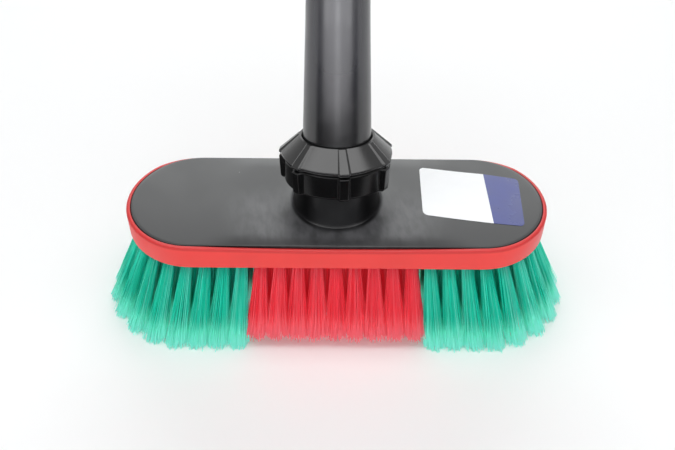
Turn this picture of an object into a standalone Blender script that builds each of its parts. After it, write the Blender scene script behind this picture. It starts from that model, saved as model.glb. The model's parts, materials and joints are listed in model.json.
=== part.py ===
"""Water-fed wash brush: an obround head with two-colour bristles, a rubber edge and a leaning handle.

Units are metres and +Z is up. The bristle tips of the two end fields stand on the plane Z = 0, the head's
length runs along X, and the handle leans back towards +Y. Everything on the handle's axis is built along a
local Z that starts where the axis meets the rim level of the cover, and hangs from one tilted empty.
"""

import math

import bmesh
import bpy
from mathutils import Matrix, Vector

MM = 0.001

# Clearances
FIT_GAP = 0.3 * MM  # air between two faces that touch on the real brush
THREAD_PLAY = 0.55 * MM  # radial play between the neck's thread and the nut's

# Head: outline and stack of plates
HEAD_LENGTH = 240 * MM
HEAD_WIDTH = 80 * MM
RUBBER_WALL = 2.3 * MM
RUBBER_EDGE_ROUNDING = 1.6 * MM
RUBBER_FOOT_ROUNDING = 1.2 * MM
RUBBER_LIP_DROP = 0.2 * MM  # how far the rubber's top lies below the cover's rim at the round ends
RUBBER_SIDE_DIP = 1.4 * MM  # how much lower it lies at the middle of the long sides
TONGUE_HEIGHT = 2.4 * MM
TONGUE_DEPTH = 1.6 * MM
BACKING_THICKNESS = 3.0 * MM
BLOCK_THICKNESS = 6.3 * MM
COVER_GASKET_THICKNESS = 1.0 * MM
COVER_RIM_THICKNESS = 4.0 * MM
COVER_EDGE_CHAMFER = 0.5 * MM
COVER_CROWN = 1.2 * MM
COVER_CROWN_SHARES = (0.0, 0.15, 0.4, 0.7, 1.0)  # loops from the rim, at 0, to the neck's foot, at 1

# Water chamber and its outlets
CHAMBER_HALF_WIDTH = 13 * MM
CHAMBER_END_WALL = 22 * MM
CHAMBER_DEPTH = 4.0 * MM
GASKET_INNER_MARGIN = 2.0 * MM
GASKET_OUTER_MARGIN = 6.0 * MM
OUTLET_RADIUS = 1.8 * MM
OUTLETS_IN_MIDDLE = 4
OUTLETS_IN_END = 2

# Bristles
BRISTLE_LENGTH = 60 * MM  # green end fields, measured straight down
RED_TRIM = 7 * MM  # how much shorter the red middle field is
FIELD_SPLIT_X = 47 * MM
TUFT_SPACING = 10.3 * MM
TUFT_ROW_INSET = 9 * MM  # outer row, from the head's edge
INNER_ROW_Y = 6 * MM  # inner row, from the head's middle line
TUFT_ROWS = 3
TUFT_ROOT_RADIUS = 1.55 * MM
TUFT_TIP_SHARE = 0.35  # a tuft's spread at its tips, as a share of the spacing
STRAND_ROOT_RADIUS = 1.0 * MM
STRAND_TIP_RADIUS = 1.35 * MM
STRAND_SIDES = 3
OUTER_ROW_STRANDS = 4
INNER_ROW_STRANDS = 3
LEAN_LENGTH_SHARE = 0.12  # outward lean along X, as a share of the root's own X
LEAN_END_SHARE = 0.10  # extra lean of the last tufts at each end
LEAN_WIDTH_SHARE = 0.42  # outward lean along Y, as a share of the root's own Y

# Cover screws
SCREW_HEAD_RADIUS = 2.8 * MM
SCREW_HEAD_HEIGHT = 2.1 * MM
SCREW_SHANK_RADIUS = 1.5 * MM
SCREW_TIP_COVER = 1.1 * MM  # least wall of the cover above a screw's hole
SCREW_SPACING_X = 72 * MM
SCREW_RECESS_RADIUS = 1.1 * MM
SCREW_RECESS_DEPTH = 1.0 * MM

# Neck of the cover, along the handle's axis
HANDLE_TILT = math.radians(15.5)
NECK_STEP = 3.8 * MM  # how much wider the neck is than the handle's foot
NECK_WALL = 5.7 * MM
NECK_FLARE = 5.5 * MM  # how much wider the neck's foot is
NECK_LENGTH = 13.6 * MM  # from the end of the flare to the top
NECK_TOP_CHAMFER = 0.6 * MM
SOCKET_DEPTH = 13.2 * MM
PASSAGE_STEP = 8.2 * MM  # how much narrower the passage under the socket is
THREAD_PITCH = 4.0 * MM
THREAD_DEPTH = 1.3 * MM
THREAD_FOOT = 2.0 * MM  # plain neck below the thread
THREAD_RUNOUT = 1.4 * MM

# Handle tube
FLANGE_THICKNESS = 3.0 * MM
HANDLE_FOOT_RADIUS = 19.1 * MM
HANDLE_TAPER = 3.1 * MM  # how much thinner the grip is than the foot
HANDLE_TAPER_LENGTH = 93 * MM
HANDLE_GRIP_LENGTH = 216 * MM
HANDLE_WALL = 2.5 * MM
FLANGE_SEAL_THICKNESS = 1.3 * MM

# Spigot in the handle's foot
SPIGOT_PLAY = 0.4 * MM  # radial play of the nose in the socket
SPIGOT_PLUG_LENGTH = 18 * MM
WATER_BORE = 4.6 * MM  # bore radius of both hose barbs
O_RING_HEIGHT = 7 * MM  # above the spigot's lower face
O_RING_SECTION = 1.1 * MM
BARB_WALL = 1.6 * MM
BARB_RIDGE = 0.25 * MM
BARB_LENGTH = 16 * MM
BARB_RIDGES = 3

# Water hose inside the handle
HOSE_WALL = 2.0 * MM
FERRULE_WALL = 1.0 * MM
FERRULE_LENGTH = 9 * MM
FERRULE_OFFSET = 4 * MM

# Union nut
NUT_FOOT_CLEARANCE = 4.0 * MM  # air between the nut's lowest rib and the crown of the cover
NUT_FLARE_GAP = 0.5 * MM  # along the axis, from the end of the flare to the nut
NUT_WALL = 4.45 * MM
NUT_LIP_HEIGHT = 2.4 * MM
NUT_LIP_OVERHANG = 1.4 * MM
NUT_LIP_GROOVE = 0.9 * MM
NUT_RIB_GROOVE = 2.0 * MM  # how deep the groove under the lip cuts into the ribs
NUT_CONE_HEIGHT = 9.7 * MM
NUT_SHOULDER_THICKNESS = 6.1 * MM
NUT_TOP_WALL = 1.3 * MM
NUT_RIBS = 7
NUT_RIB_RISE = 1.7 * MM
NUT_RIB_TURN_SHARE = 0.17  # a rib's share of its sector's angle
NUT_FLANK_TURN_SHARE = 0.255  # the same, with the rib's sloping flanks
NUT_FACE_SHARES = (0.0, 0.25, 0.5, 0.75)  # points along the face between two ribs
NUT_SKIRT_ROUND_SHARE = 0.9  # 0 is a flat face between two ribs, 1 is a round one
NUT_LIP_ROUND_SHARE = 0.75
NUT_TOP_ROUND_SHARE = 0.9
NUT_EDGE_CHAMFER = 0.8 * MM
NUT_OPENING_PLAY = 0.3 * MM
NUT_FIRST_RIB = math.radians(-82.5)
SLIP_RING_THICKNESS = 1.2 * MM

# End plug and water inlet
PLUG_STEM_LENGTH = 18 * MM
PLUG_HEAD_OVERHANG = 0.7 * MM
PLUG_HEAD_THICKNESS = 4.2 * MM
PLUG_HEAD_ROUNDING = 1.0 * MM
NIPPLE_SHANK_RADIUS = 8.3 * MM
NIPPLE_HEX_FLATS = 24 * MM
NIPPLE_HEX_HEIGHT = 6 * MM
NIPPLE_THREAD_RADIUS = 10.4 * MM
NIPPLE_THREAD_LENGTH = 15 * MM
NIPPLE_RELIEF = 1.1 * MM
NIPPLE_RELIEF_LENGTH = 2.2 * MM
LOCK_NUT_THICKNESS = 5 * MM
LOCK_NUT_CORNER_GAP = 1.4 * MM  # air between its corners and the handle's bore
INLET_WASHER_THICKNESS = 1.0 * MM
INLET_WASHER_INSET = 0.4 * MM  # in from the hexagon's flats

# Facet counts
END_STEPS = 12
SIDE_STEPS = 6
ROUND_STEPS = 28
SMALL_ROUND_STEPS = 16
HOLE_STEPS = 8
HEX_SIDES = 6
HEX_ROUND_STEPS = 4 * HEX_SIDES
NUT_BORE_STEPS = 4 * NUT_RIBS
THREAD_ROWS_PER_PITCH = 6
FLARE_STEPS = 5
SHARP_ANGLE = math.radians(35)

# Levels of the head, from the floor up
BACKING_BOTTOM = BRISTLE_LENGTH
BACKING_TOP = BACKING_BOTTOM + BACKING_THICKNESS
BLOCK_BOTTOM = BACKING_TOP + FIT_GAP
BLOCK_TOP = BLOCK_BOTTOM + BLOCK_THICKNESS
COVER_GASKET_BOTTOM = BLOCK_TOP + FIT_GAP
COVER_BOTTOM = COVER_GASKET_BOTTOM + COVER_GASKET_THICKNESS + FIT_GAP
COVER_RIM = COVER_BOTTOM + COVER_RIM_THICKNESS
RUBBER_TOP = COVER_RIM - RUBBER_LIP_DROP

# Plan sizes of the head
END_RADIUS = HEAD_WIDTH / 2
SIDE_HALF = HEAD_LENGTH / 2 - END_RADIUS  # half the straight run of the outline
CORE_RADIUS = END_RADIUS - RUBBER_WALL - FIT_GAP  # end radius of what the rubber edge holds
COLUMNS = 2 * (END_STEPS + 1) + 2 * (SIDE_STEPS - 1)
CHAMBER_CENTRE_X = HEAD_LENGTH / 2 - CHAMBER_END_WALL - CHAMBER_HALF_WIDTH
OUTER_ROW_Y = END_RADIUS - TUFT_ROW_INSET
TUFT_ROW_PITCH = (OUTER_ROW_Y - INNER_ROW_Y) / (TUFT_ROWS - 1)
TUFT_TIP_RADIUS = TUFT_SPACING * TUFT_TIP_SHARE
SCREW_Y = OUTER_ROW_Y - TUFT_ROW_PITCH / 2
SCREW_HOLE_TOP = COVER_RIM - SCREW_TIP_COVER
SCREW_HOLE_RADIUS = SCREW_SHANK_RADIUS + FIT_GAP
SCREW_POCKET_RADIUS = SCREW_HEAD_RADIUS + FIT_GAP

# Radii round the handle's axis
HANDLE_GRIP_RADIUS = HANDLE_FOOT_RADIUS - HANDLE_TAPER
NECK_RADIUS = HANDLE_FOOT_RADIUS + NECK_STEP  # plain neck, and the root of its thread
SOCKET_RADIUS = NECK_RADIUS - NECK_WALL
PASSAGE_RADIUS = SOCKET_RADIUS - PASSAGE_STEP
FLANGE_RADIUS = NECK_RADIUS - FIT_GAP
SLIP_RING_RADIUS = NECK_RADIUS + FIT_GAP
NUT_THREAD_ROOT = NECK_RADIUS + THREAD_DEPTH + THREAD_PLAY
NUT_SKIRT_RADIUS = NUT_THREAD_ROOT + NUT_WALL
NUT_LIP_RADIUS = NUT_SKIRT_RADIUS + NUT_LIP_OVERHANG
NUT_RIB_RADIUS = NUT_LIP_RADIUS + NUT_RIB_RISE
NUT_OPENING_RADIUS = HANDLE_FOOT_RADIUS + NUT_OPENING_PLAY
NUT_TOP_RADIUS = NUT_OPENING_RADIUS + NUT_TOP_WALL
BARB_RADIUS = WATER_BORE + BARB_WALL
HOSE_RADIUS = BARB_RADIUS + FIT_GAP
PLUG_HEAD_RADIUS = HANDLE_GRIP_RADIUS + PLUG_HEAD_OVERHANG
NIPPLE_HOLE_RADIUS = NIPPLE_SHANK_RADIUS + FIT_GAP
LOCK_NUT_FLATS = (HANDLE_GRIP_RADIUS - HANDLE_WALL - LOCK_NUT_CORNER_GAP) * math.sqrt(3)
INLET_WASHER_RADIUS = NIPPLE_HEX_FLATS / 2 - INLET_WASHER_INSET

# Places along the handle's axis, from where it meets the cover's rim level
NUT_LOW_RIB = NUT_RIB_RADIUS * math.sin(HANDLE_TILT)
NUT_BOTTOM = (COVER_CROWN + NUT_FOOT_CLEARANCE + NUT_LOW_RIB) / math.cos(HANDLE_TILT)
NECK_FLARE_TOP = NUT_BOTTOM - NUT_FLARE_GAP
NECK_TOP = NECK_FLARE_TOP + NECK_LENGTH
SOCKET_FLOOR = NECK_TOP - SOCKET_DEPTH
THREAD_START = NECK_FLARE_TOP + THREAD_FOOT
THREAD_END = NECK_TOP - NECK_TOP_CHAMFER
SEAL_BOTTOM = NECK_TOP + FIT_GAP
FLANGE_BOTTOM = SEAL_BOTTOM + FLANGE_SEAL_THICKNESS + FIT_GAP
FLANGE_TOP = FLANGE_BOTTOM + FLANGE_THICKNESS
TAPER_TOP = FLANGE_TOP + HANDLE_TAPER_LENGTH
HANDLE_TOP = TAPER_TOP + HANDLE_GRIP_LENGTH
SLIP_RING_BOTTOM = FLANGE_TOP + FIT_GAP
NUT_SHOULDER = SLIP_RING_BOTTOM + SLIP_RING_THICKNESS + FIT_GAP
NUT_TOP = NUT_SHOULDER + NUT_SHOULDER_THICKNESS
NUT_LIP_TOP = NUT_TOP - NUT_CONE_HEIGHT
NUT_SKIRT_TOP = NUT_LIP_TOP - NUT_LIP_HEIGHT
SPIGOT_BOTTOM = SOCKET_FLOOR + FIT_GAP
SPIGOT_PLUG_TOP = FLANGE_BOTTOM + SPIGOT_PLUG_LENGTH
HOSE_BOTTOM = SPIGOT_PLUG_TOP + FIT_GAP
PLUG_HEAD_BOTTOM = HANDLE_TOP + FIT_GAP
PLUG_HEAD_TOP = PLUG_HEAD_BOTTOM + PLUG_HEAD_THICKNESS
PLUG_STEM_BOTTOM = HANDLE_TOP - PLUG_STEM_LENGTH
LOCK_NUT_TOP = PLUG_STEM_BOTTOM - FIT_GAP
LOCK_NUT_BOTTOM = LOCK_NUT_TOP - LOCK_NUT_THICKNESS
NIPPLE_SHANK_BOTTOM = LOCK_NUT_BOTTOM - FIT_GAP
HOSE_TOP = NIPPLE_SHANK_BOTTOM - FIT_GAP
WASHER_BOTTOM = PLUG_HEAD_TOP + FIT_GAP
HEX_BOTTOM = WASHER_BOTTOM + INLET_WASHER_THICKNESS + FIT_GAP


def clear_scene():
    """Removes whatever the file holds."""
    for old in list(bpy.data.objects):
        bpy.data.objects.remove(old, do_unlink=True)


def make_material(name, colour, roughness, metallic=0.0):
    """A plain Principled material."""
    material = bpy.data.materials.new(name)
    material.use_nodes = True
    shader = material.node_tree.nodes["Principled BSDF"]
    shader.inputs["Base Color"].default_value = (*colour, 1.0)
    shader.inputs["Roughness"].default_value = roughness
    shader.inputs["Metallic"].default_value = metallic
    material.diffuse_color = (*colour, 1.0)
    return material


def make_empty(name, parent=None, location=(0, 0, 0), tilt=0.0):
    """An empty that carries other objects; tilt leans its Z axis back towards +Y."""
    empty = bpy.data.objects.new(name, None)
    bpy.context.scene.collection.objects.link(empty)
    empty.parent = parent
    empty.location = location
    empty.rotation_euler = (-tilt, 0, 0)
    return empty


class Solid:
    """One closed mesh, built from loops of points, the walls between them and flat fills."""

    def __init__(self):
        self.bm = bmesh.new()

    def loop(self, points):
        """Adds one loop of vertices."""
        return [self.bm.verts.new(point) for point in points]

    def wall(self, lower, upper):
        """Quads between two loops of the same count."""
        count = len(lower)
        for i in range(count):
            j = (i + 1) % count
            self.bm.faces.new((lower[i], lower[j], upper[j], upper[i]))

    def step_wall(self, coarse, fine):
        """Triangles between a loop and one with twice its count; fine[2 i] faces coarse[i]."""
        count = len(coarse)
        for i in range(count):
            j = (i + 1) % count
            middle = fine[2 * i + 1]
            self.bm.faces.new((coarse[i], fine[2 * i], middle))
            self.bm.faces.new((coarse[i], middle, coarse[j]))
            self.bm.faces.new((coarse[j], middle, fine[2 * j]))

    def skin(self, loops, closed=False):
        """Walls along a series of loops, joined back to the first where closed."""
        for lower, upper in zip(loops, loops[1:]):
            self.wall(lower, upper)
        if closed:
            self.wall(loops[-1], loops[0])

    def fill(self, *loops):
        """A flat face bounded by the first loop, with the other loops as holes."""
        edges = []
        for loop in loops:
            for i, vertex in enumerate(loop):
                ends = (vertex, loop[(i + 1) % len(loop)])
                edges.append(self.bm.edges.get(ends) or self.bm.edges.new(ends))
        bmesh.ops.triangle_fill(self.bm, use_beauty=True, edges=edges)

    def finish(self, name, material, parent):
        """Turns the faces outwards and makes the object."""
        bmesh.ops.recalc_face_normals(self.bm, faces=self.bm.faces)
        return place_mesh(name, self.bm, material, parent)


def place_mesh(name, bm, material, parent):
    """Makes the object of a finished bmesh, smooth shaded but for its sharp edges."""
    mesh = bpy.data.meshes.new(name)
    bm.to_mesh(mesh)
    bm.free()
    mesh.shade_smooth()
    mesh.set_sharp_from_angle(angle=SHARP_ANGLE)
    mesh.materials.append(material)
    obj = bpy.data.objects.new(name, mesh)
    bpy.context.scene.collection.objects.link(obj)
    obj.parent = parent
    return obj


def turned(name, profile, material, parent, steps=ROUND_STEPS):
    """A ring-shaped solid: a closed profile of (radius, height) spun round local Z."""
    bm = bmesh.new()
    corners = [bm.verts.new((radius, 0, height)) for radius, height in profile]
    edges = [bm.edges.new((corners[i - 1], corners[i])) for i in range(len(corners))]
    bmesh.ops.spin(
        bm,
        geom=corners + edges,
        cent=(0, 0, 0),
        axis=(0, 0, 1),
        angle=math.tau,
        steps=steps,
        use_merge=True,
    )
    bmesh.ops.recalc_face_normals(bm, faces=bm.faces)
    return place_mesh(name, bm, material, parent)


def circle(radius, height, centre=(0, 0), steps=ROUND_STEPS):
    """Points of a level circle."""
    points = []
    for i in range(steps):
        angle = math.tau * i / steps
        points.append((centre[0] + radius * math.cos(angle), centre[1] + radius * math.sin(angle), height))
    return points


def hexagon(flats, height):
    """Points of a level hexagon, given across its flats."""
    return circle(flats / math.sqrt(3), height, steps=HEX_SIDES)


def racetrack(radius, height, dip=0.0):
    """Points of the head's obround outline with the given end radius, from the right end round.

    The straight runs keep their length, so that outlines of unlike radius are parallel. The dip lowers the
    long sides, most at the middle and not at all where the round ends begin.
    """
    points = []
    for side in (1, -1):
        for i in range(END_STEPS + 1):
            angle = math.pi * (i / END_STEPS - 0.5)
            x = SIDE_HALF + radius * math.cos(angle)
            points.append((side * x, side * radius * math.sin(angle), height))
        for i in range(1, SIDE_STEPS):
            x = SIDE_HALF * (1 - 2 * i / SIDE_STEPS)
            points.append((side * x, side * radius, height - dip * (1 - (x / SIDE_HALF) ** 2)))
    return points


def column_angle(index):
    """The angle round the neck that faces one column of the racetrack outline."""
    return math.tau * (index - END_STEPS / 2) / COLUMNS


def axis_point(radius, angle, along, tilt=HANDLE_TILT):
    """A head-frame point beside the handle's axis, on a circle that is tilted by tilt."""
    centre = Vector((0, math.sin(HANDLE_TILT) * along, COVER_RIM + math.cos(HANDLE_TILT) * along))
    offset = Vector((radius * math.cos(angle), radius * math.sin(angle), 0))
    return centre + Matrix.Rotation(-tilt, 3, "X") @ offset


def neck_loop(radius, along, tilt=HANDLE_TILT):
    """One plain loop of the neck."""
    return [axis_point(radius, column_angle(i), along, tilt) for i in range(COLUMNS)]


def thread_swell(angle, along, start, end):
    """How far the rounded thread stands up at a place, from 0 to 1, fading out at both ends."""
    wave = 0.5 + 0.5 * math.cos(math.tau * along / THREAD_PITCH - angle)
    fade = min(along - start, end - along) / THREAD_RUNOUT
    return wave * min(max(fade, 0.0), 1.0)


def neck_thread_row(along):
    """One loop of the neck's outer thread."""
    points = []
    for i in range(COLUMNS):
        angle = column_angle(i)
        swell = thread_swell(angle, along, THREAD_START, THREAD_END)
        points.append(axis_point(NECK_RADIUS + THREAD_DEPTH * swell, angle, along))
    return points


def thread_rows(start, end):
    """Heights at which a thread is sampled."""
    rows = max(2, round((end - start) / THREAD_PITCH * THREAD_ROWS_PER_PITCH))
    return [start + (end - start) * i / rows for i in range(rows + 1)]


def screw_places():
    """The six cover screws, as (x, y)."""
    return [(x * SCREW_SPACING_X, y * SCREW_Y) for x in (-1, 0, 1) for y in (-1, 1)]


def outlet_places():
    """The water outlets along the head's middle line, as (x, y), spread evenly over each bristle field."""
    middle_pitch = 2 * FIELD_SPLIT_X / OUTLETS_IN_MIDDLE
    xs = [middle_pitch * (i + 0.5) - FIELD_SPLIT_X for i in range(OUTLETS_IN_MIDDLE)]
    end_pitch = (CHAMBER_CENTRE_X + CHAMBER_HALF_WIDTH - FIELD_SPLIT_X) / OUTLETS_IN_END
    for i in range(OUTLETS_IN_END):
        x = FIELD_SPLIT_X + end_pitch * (i + 0.5)
        xs += [-x, x]
    return [(x, 0) for x in xs]


def backing_holes():
    """The holes through the bristles' backing, as ((x, y), radius)."""
    pockets = [(place, SCREW_POCKET_RADIUS) for place in screw_places()]
    return pockets + [(place, OUTLET_RADIUS) for place in outlet_places()]


def is_free(place):
    """Whether a tuft at a place stays off every hole of the backing."""
    reach = TUFT_ROOT_RADIUS + STRAND_ROOT_RADIUS + FIT_GAP
    return all(math.dist(place, centre) > reach + radius for centre, radius in backing_holes())


def row_places(row):
    """The tufts of one row that follows the outline, as (x, y), for the middle and the two end fields.

    Every second row has one tuft less in each field, and stands in the gaps of the rows beside it.
    """
    radius = OUTER_ROW_Y - row * TUFT_ROW_PITCH
    first = 1 if row % 2 else 0.5
    pitches = max(2, round(2 * FIELD_SPLIT_X / TUFT_SPACING))
    middle = []
    for i in range(pitches - row % 2):
        x = FIELD_SPLIT_X * (2 * (i + first) / pitches - 1)
        middle += [(x, -radius), (x, radius)]
    straight = SIDE_HALF - FIELD_SPLIT_X
    run = 2 * straight + math.pi * radius
    pitches = max(2, round(run / TUFT_SPACING))
    right = []
    for i in range(pitches - row % 2):
        along = run * (i + first) / pitches
        if along < straight:
            right.append((FIELD_SPLIT_X + along, -radius))
        elif along > run - straight:
            right.append((FIELD_SPLIT_X + run - along, radius))
        else:
            angle = (along - straight) / radius - math.pi / 2
            right.append((SIDE_HALF + radius * math.cos(angle), radius * math.sin(angle)))
    left = [(-x, y) for x, y in right]
    return tuple([place for place in field if is_free(place)] for field in (middle, right, left))


def leaned(x, y, drop):
    """Where a strand rooted at (x, y) is once it has come down by drop."""
    share = drop / BRISTLE_LENGTH
    along = LEAN_LENGTH_SHARE + LEAN_END_SHARE * (x / (SIDE_HALF + OUTER_ROW_Y)) ** 4
    return x * (1 + share * along), y * (1 + share * LEAN_WIDTH_SHARE)


def add_tuft(solid, place, strands, length):
    """Adds one tuft's strands and returns the loops where they leave the backing."""
    roots = []
    outward = math.atan2(place[1], place[0])
    for i in range(strands):
        heading = outward + math.tau * (i + 0.5) / strands
        loops = []
        for drop in (0.0, length):
            share = drop / BRISTLE_LENGTH
            x, y = leaned(*place, drop)
            spread = TUFT_ROOT_RADIUS + (TUFT_TIP_RADIUS - TUFT_ROOT_RADIUS) * share
            size = STRAND_ROOT_RADIUS + (STRAND_TIP_RADIUS - STRAND_ROOT_RADIUS) * share
            centre = (x + spread * math.cos(heading), y + spread * math.sin(heading))
            section = []
            for j in range(STRAND_SIDES):
                angle = heading + math.tau * j / STRAND_SIDES
                section.append(
                    (
                        centre[0] + size * math.cos(angle),
                        centre[1] + size * math.sin(angle),
                        BACKING_BOTTOM - drop,
                    )
                )
            loops.append(solid.loop(section))
        solid.wall(*loops)
        solid.bm.faces.new(loops[1])
        roots.append(loops[0])
    return roots


def bristle_field(name, outline, tufts, length, material, parent):
    """A slice of backing with its tufts, with holes for the screw heads and outlets that lie in it."""
    solid = Solid()
    xs = [x for x, _ in outline]
    holes = [hole for hole in backing_holes() if min(xs) < hole[0][0] < max(xs)]
    levels = (BACKING_BOTTOM, BACKING_TOP)
    rims = [solid.loop([(x, y, height) for x, y in outline]) for height in levels]
    solid.wall(*rims)
    openings = [[], []]
    for centre, radius in holes:
        pair = [solid.loop(circle(radius, height, centre, HOLE_STEPS)) for height in levels]
        solid.wall(*pair)
        openings[0].append(pair[0])
        openings[1].append(pair[1])
    roots = []
    for row, places in enumerate(tufts):
        strands = INNER_ROW_STRANDS if row else OUTER_ROW_STRANDS
        for place in places:
            roots += add_tuft(solid, place, strands, length)
    solid.fill(rims[0], *openings[0], *roots)
    solid.fill(rims[1], *openings[1])
    return solid.finish(name, material, parent)


def field_outlines():
    """The plan outlines of the middle backing slice and of the right-hand one."""
    half = FIELD_SPLIT_X - FIT_GAP / 2
    middle = [(half, -CORE_RADIUS), (half, CORE_RADIUS), (-half, CORE_RADIUS), (-half, -CORE_RADIUS)]
    start = FIELD_SPLIT_X + FIT_GAP / 2
    end_arc = [(x, y) for x, y, _ in racetrack(CORE_RADIUS, 0)[: END_STEPS + 1]]
    right = [(start, -CORE_RADIUS), *end_arc, (start, CORE_RADIUS)]
    return middle, right


def build_bristles(parent, green, red):
    """The red middle field and the two longer green end fields."""
    rows = [row_places(row) for row in range(TUFT_ROWS)]
    middle_outline, right_outline = field_outlines()
    left_outline = [(-x, y) for x, y in right_outline]
    middle = [row[0] for row in rows]
    right = [row[1] for row in rows]
    left = [row[2] for row in rows]
    red_length = BRISTLE_LENGTH - RED_TRIM
    bristle_field("bristles_red_middle", middle_outline, middle, red_length, red, parent)
    bristle_field("bristles_green_right", right_outline, right, BRISTLE_LENGTH, green, parent)
    bristle_field("bristles_green_left", left_outline, left, BRISTLE_LENGTH, green, parent)


def tongue_levels():
    """Lower and upper height of the rubber edge's tongue."""
    middle = (BLOCK_BOTTOM + BLOCK_TOP) / 2
    return middle - TONGUE_HEIGHT / 2, middle + TONGUE_HEIGHT / 2


def build_block(parent, material):
    """The moulded block: groove for the rubber tongue, chamber pocket, outlets and screw holes."""
    solid = Solid()
    low, high = tongue_levels()
    groove = CORE_RADIUS - TONGUE_DEPTH
    sides = [
        (CORE_RADIUS, BLOCK_BOTTOM),
        (CORE_RADIUS, low - FIT_GAP),
        (groove, low - FIT_GAP),
        (groove, high + FIT_GAP),
        (CORE_RADIUS, high + FIT_GAP),
        (CORE_RADIUS, BLOCK_TOP),
    ]
    loops = [solid.loop(racetrack(radius, height)) for radius, height in sides]
    solid.skin(loops)
    floor = BLOCK_TOP - CHAMBER_DEPTH
    pocket = [solid.loop(chamber_outline(0, height)) for height in (floor, BLOCK_TOP)]
    solid.wall(*pocket)
    bottom_holes, top_holes, floor_holes = [], [], []
    for centre in screw_places():
        pair = [
            solid.loop(circle(SCREW_HOLE_RADIUS, height, centre, HOLE_STEPS))
            for height in (BLOCK_BOTTOM, BLOCK_TOP)
        ]
        solid.wall(*pair)
        bottom_holes.append(pair[0])
        top_holes.append(pair[1])
    for centre in outlet_places():
        pair = [
            solid.loop(circle(OUTLET_RADIUS, height, centre, HOLE_STEPS)) for height in (BLOCK_BOTTOM, floor)
        ]
        solid.wall(*pair)
        bottom_holes.append(pair[0])
        floor_holes.append(pair[1])
    solid.fill(loops[0], *bottom_holes)
    solid.fill(loops[-1], pocket[1], *top_holes)
    solid.fill(pocket[0], *floor_holes)
    return solid.finish("brush_block", material, parent)


def chamber_outline(margin, height):
    """The water chamber's obround outline, grown by a margin."""
    half_width = CHAMBER_HALF_WIDTH + margin
    points = []
    for side in (1, -1):
        for i in range(END_STEPS + 1):
            angle = math.pi * (i / END_STEPS - 0.5)
            x = CHAMBER_CENTRE_X + half_width * math.cos(angle)
            points.append((side * x, side * half_width * math.sin(angle), height))
    return points


def build_cover_gasket(parent, material):
    """The flat seal between the block and the cover, round the chamber."""
    solid = Solid()
    levels = (COVER_GASKET_BOTTOM, COVER_GASKET_BOTTOM + COVER_GASKET_THICKNESS)
    outer = [solid.loop(racetrack(CORE_RADIUS - GASKET_OUTER_MARGIN, height)) for height in levels]
    inner = [solid.loop(chamber_outline(GASKET_INNER_MARGIN, height)) for height in levels]
    solid.wall(*outer)
    solid.wall(*inner)
    lower, upper = [outer[0], inner[0]], [outer[1], inner[1]]
    for centre in screw_places():
        pair = [solid.loop(circle(SCREW_HOLE_RADIUS, height, centre, HOLE_STEPS)) for height in levels]
        solid.wall(*pair)
        lower.append(pair[0])
        upper.append(pair[1])
    solid.fill(*lower)
    solid.fill(*upper)
    return solid.finish("cover_gasket", material, parent)


def crown_loop(share):
    """A loop of the cover's top between its rim, at share 0, and the neck's foot, at share 1."""
    rim = racetrack(CORE_RADIUS - COVER_EDGE_CHAMFER, COVER_RIM)
    along = COVER_CROWN / math.cos(HANDLE_TILT)
    foot = neck_loop(NECK_RADIUS + NECK_FLARE, along, tilt=0.0)
    height = COVER_RIM + COVER_CROWN * share
    points = []
    for (rim_x, rim_y, _), inner in zip(rim, foot):
        points.append((rim_x + (inner.x - rim_x) * share, rim_y + (inner.y - rim_y) * share, height))
    return points


def build_cover(parent, material):
    """The black top cover with its leaning, threaded neck, made as one closed skin."""
    solid = Solid()
    loops = [
        solid.loop(racetrack(CORE_RADIUS, COVER_BOTTOM)),
        solid.loop(racetrack(CORE_RADIUS, COVER_RIM - COVER_EDGE_CHAMFER)),
    ]
    for share in COVER_CROWN_SHARES:
        loops.append(solid.loop(crown_loop(share)))
    foot = COVER_CROWN / math.cos(HANDLE_TILT)
    for i in range(1, FLARE_STEPS + 1):
        turn = math.pi / 2 * i / FLARE_STEPS
        rise = 1 - math.cos(turn)
        radius = NECK_RADIUS + NECK_FLARE * (1 - math.sin(turn))
        along = foot + (NECK_FLARE_TOP - foot) * rise
        loops.append(solid.loop(neck_loop(radius, along, HANDLE_TILT * rise)))
    for along in thread_rows(THREAD_START, THREAD_END):
        loops.append(solid.loop(neck_thread_row(along)))
    for radius, along in (
        (NECK_RADIUS - NECK_TOP_CHAMFER, NECK_TOP),
        (SOCKET_RADIUS + NECK_TOP_CHAMFER, NECK_TOP),
        (SOCKET_RADIUS, NECK_TOP - NECK_TOP_CHAMFER),
        (SOCKET_RADIUS, SOCKET_FLOOR),
        (PASSAGE_RADIUS, SOCKET_FLOOR),
    ):
        loops.append(solid.loop(neck_loop(radius, along)))
    mouth = (COVER_BOTTOM - COVER_RIM) / math.cos(HANDLE_TILT)
    loops.append(solid.loop(neck_loop(PASSAGE_RADIUS, mouth, tilt=0.0)))
    solid.skin(loops)
    underside = [loops[0], loops[-1]]
    for centre in screw_places():
        pair = [
            solid.loop(circle(SCREW_HOLE_RADIUS, height, centre, HOLE_STEPS))
            for height in (COVER_BOTTOM, SCREW_HOLE_TOP)
        ]
        solid.wall(*pair)
        solid.fill(pair[1])
        underside.append(pair[0])
    solid.fill(*underside)
    return solid.finish("top_cover", material, parent)


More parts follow.
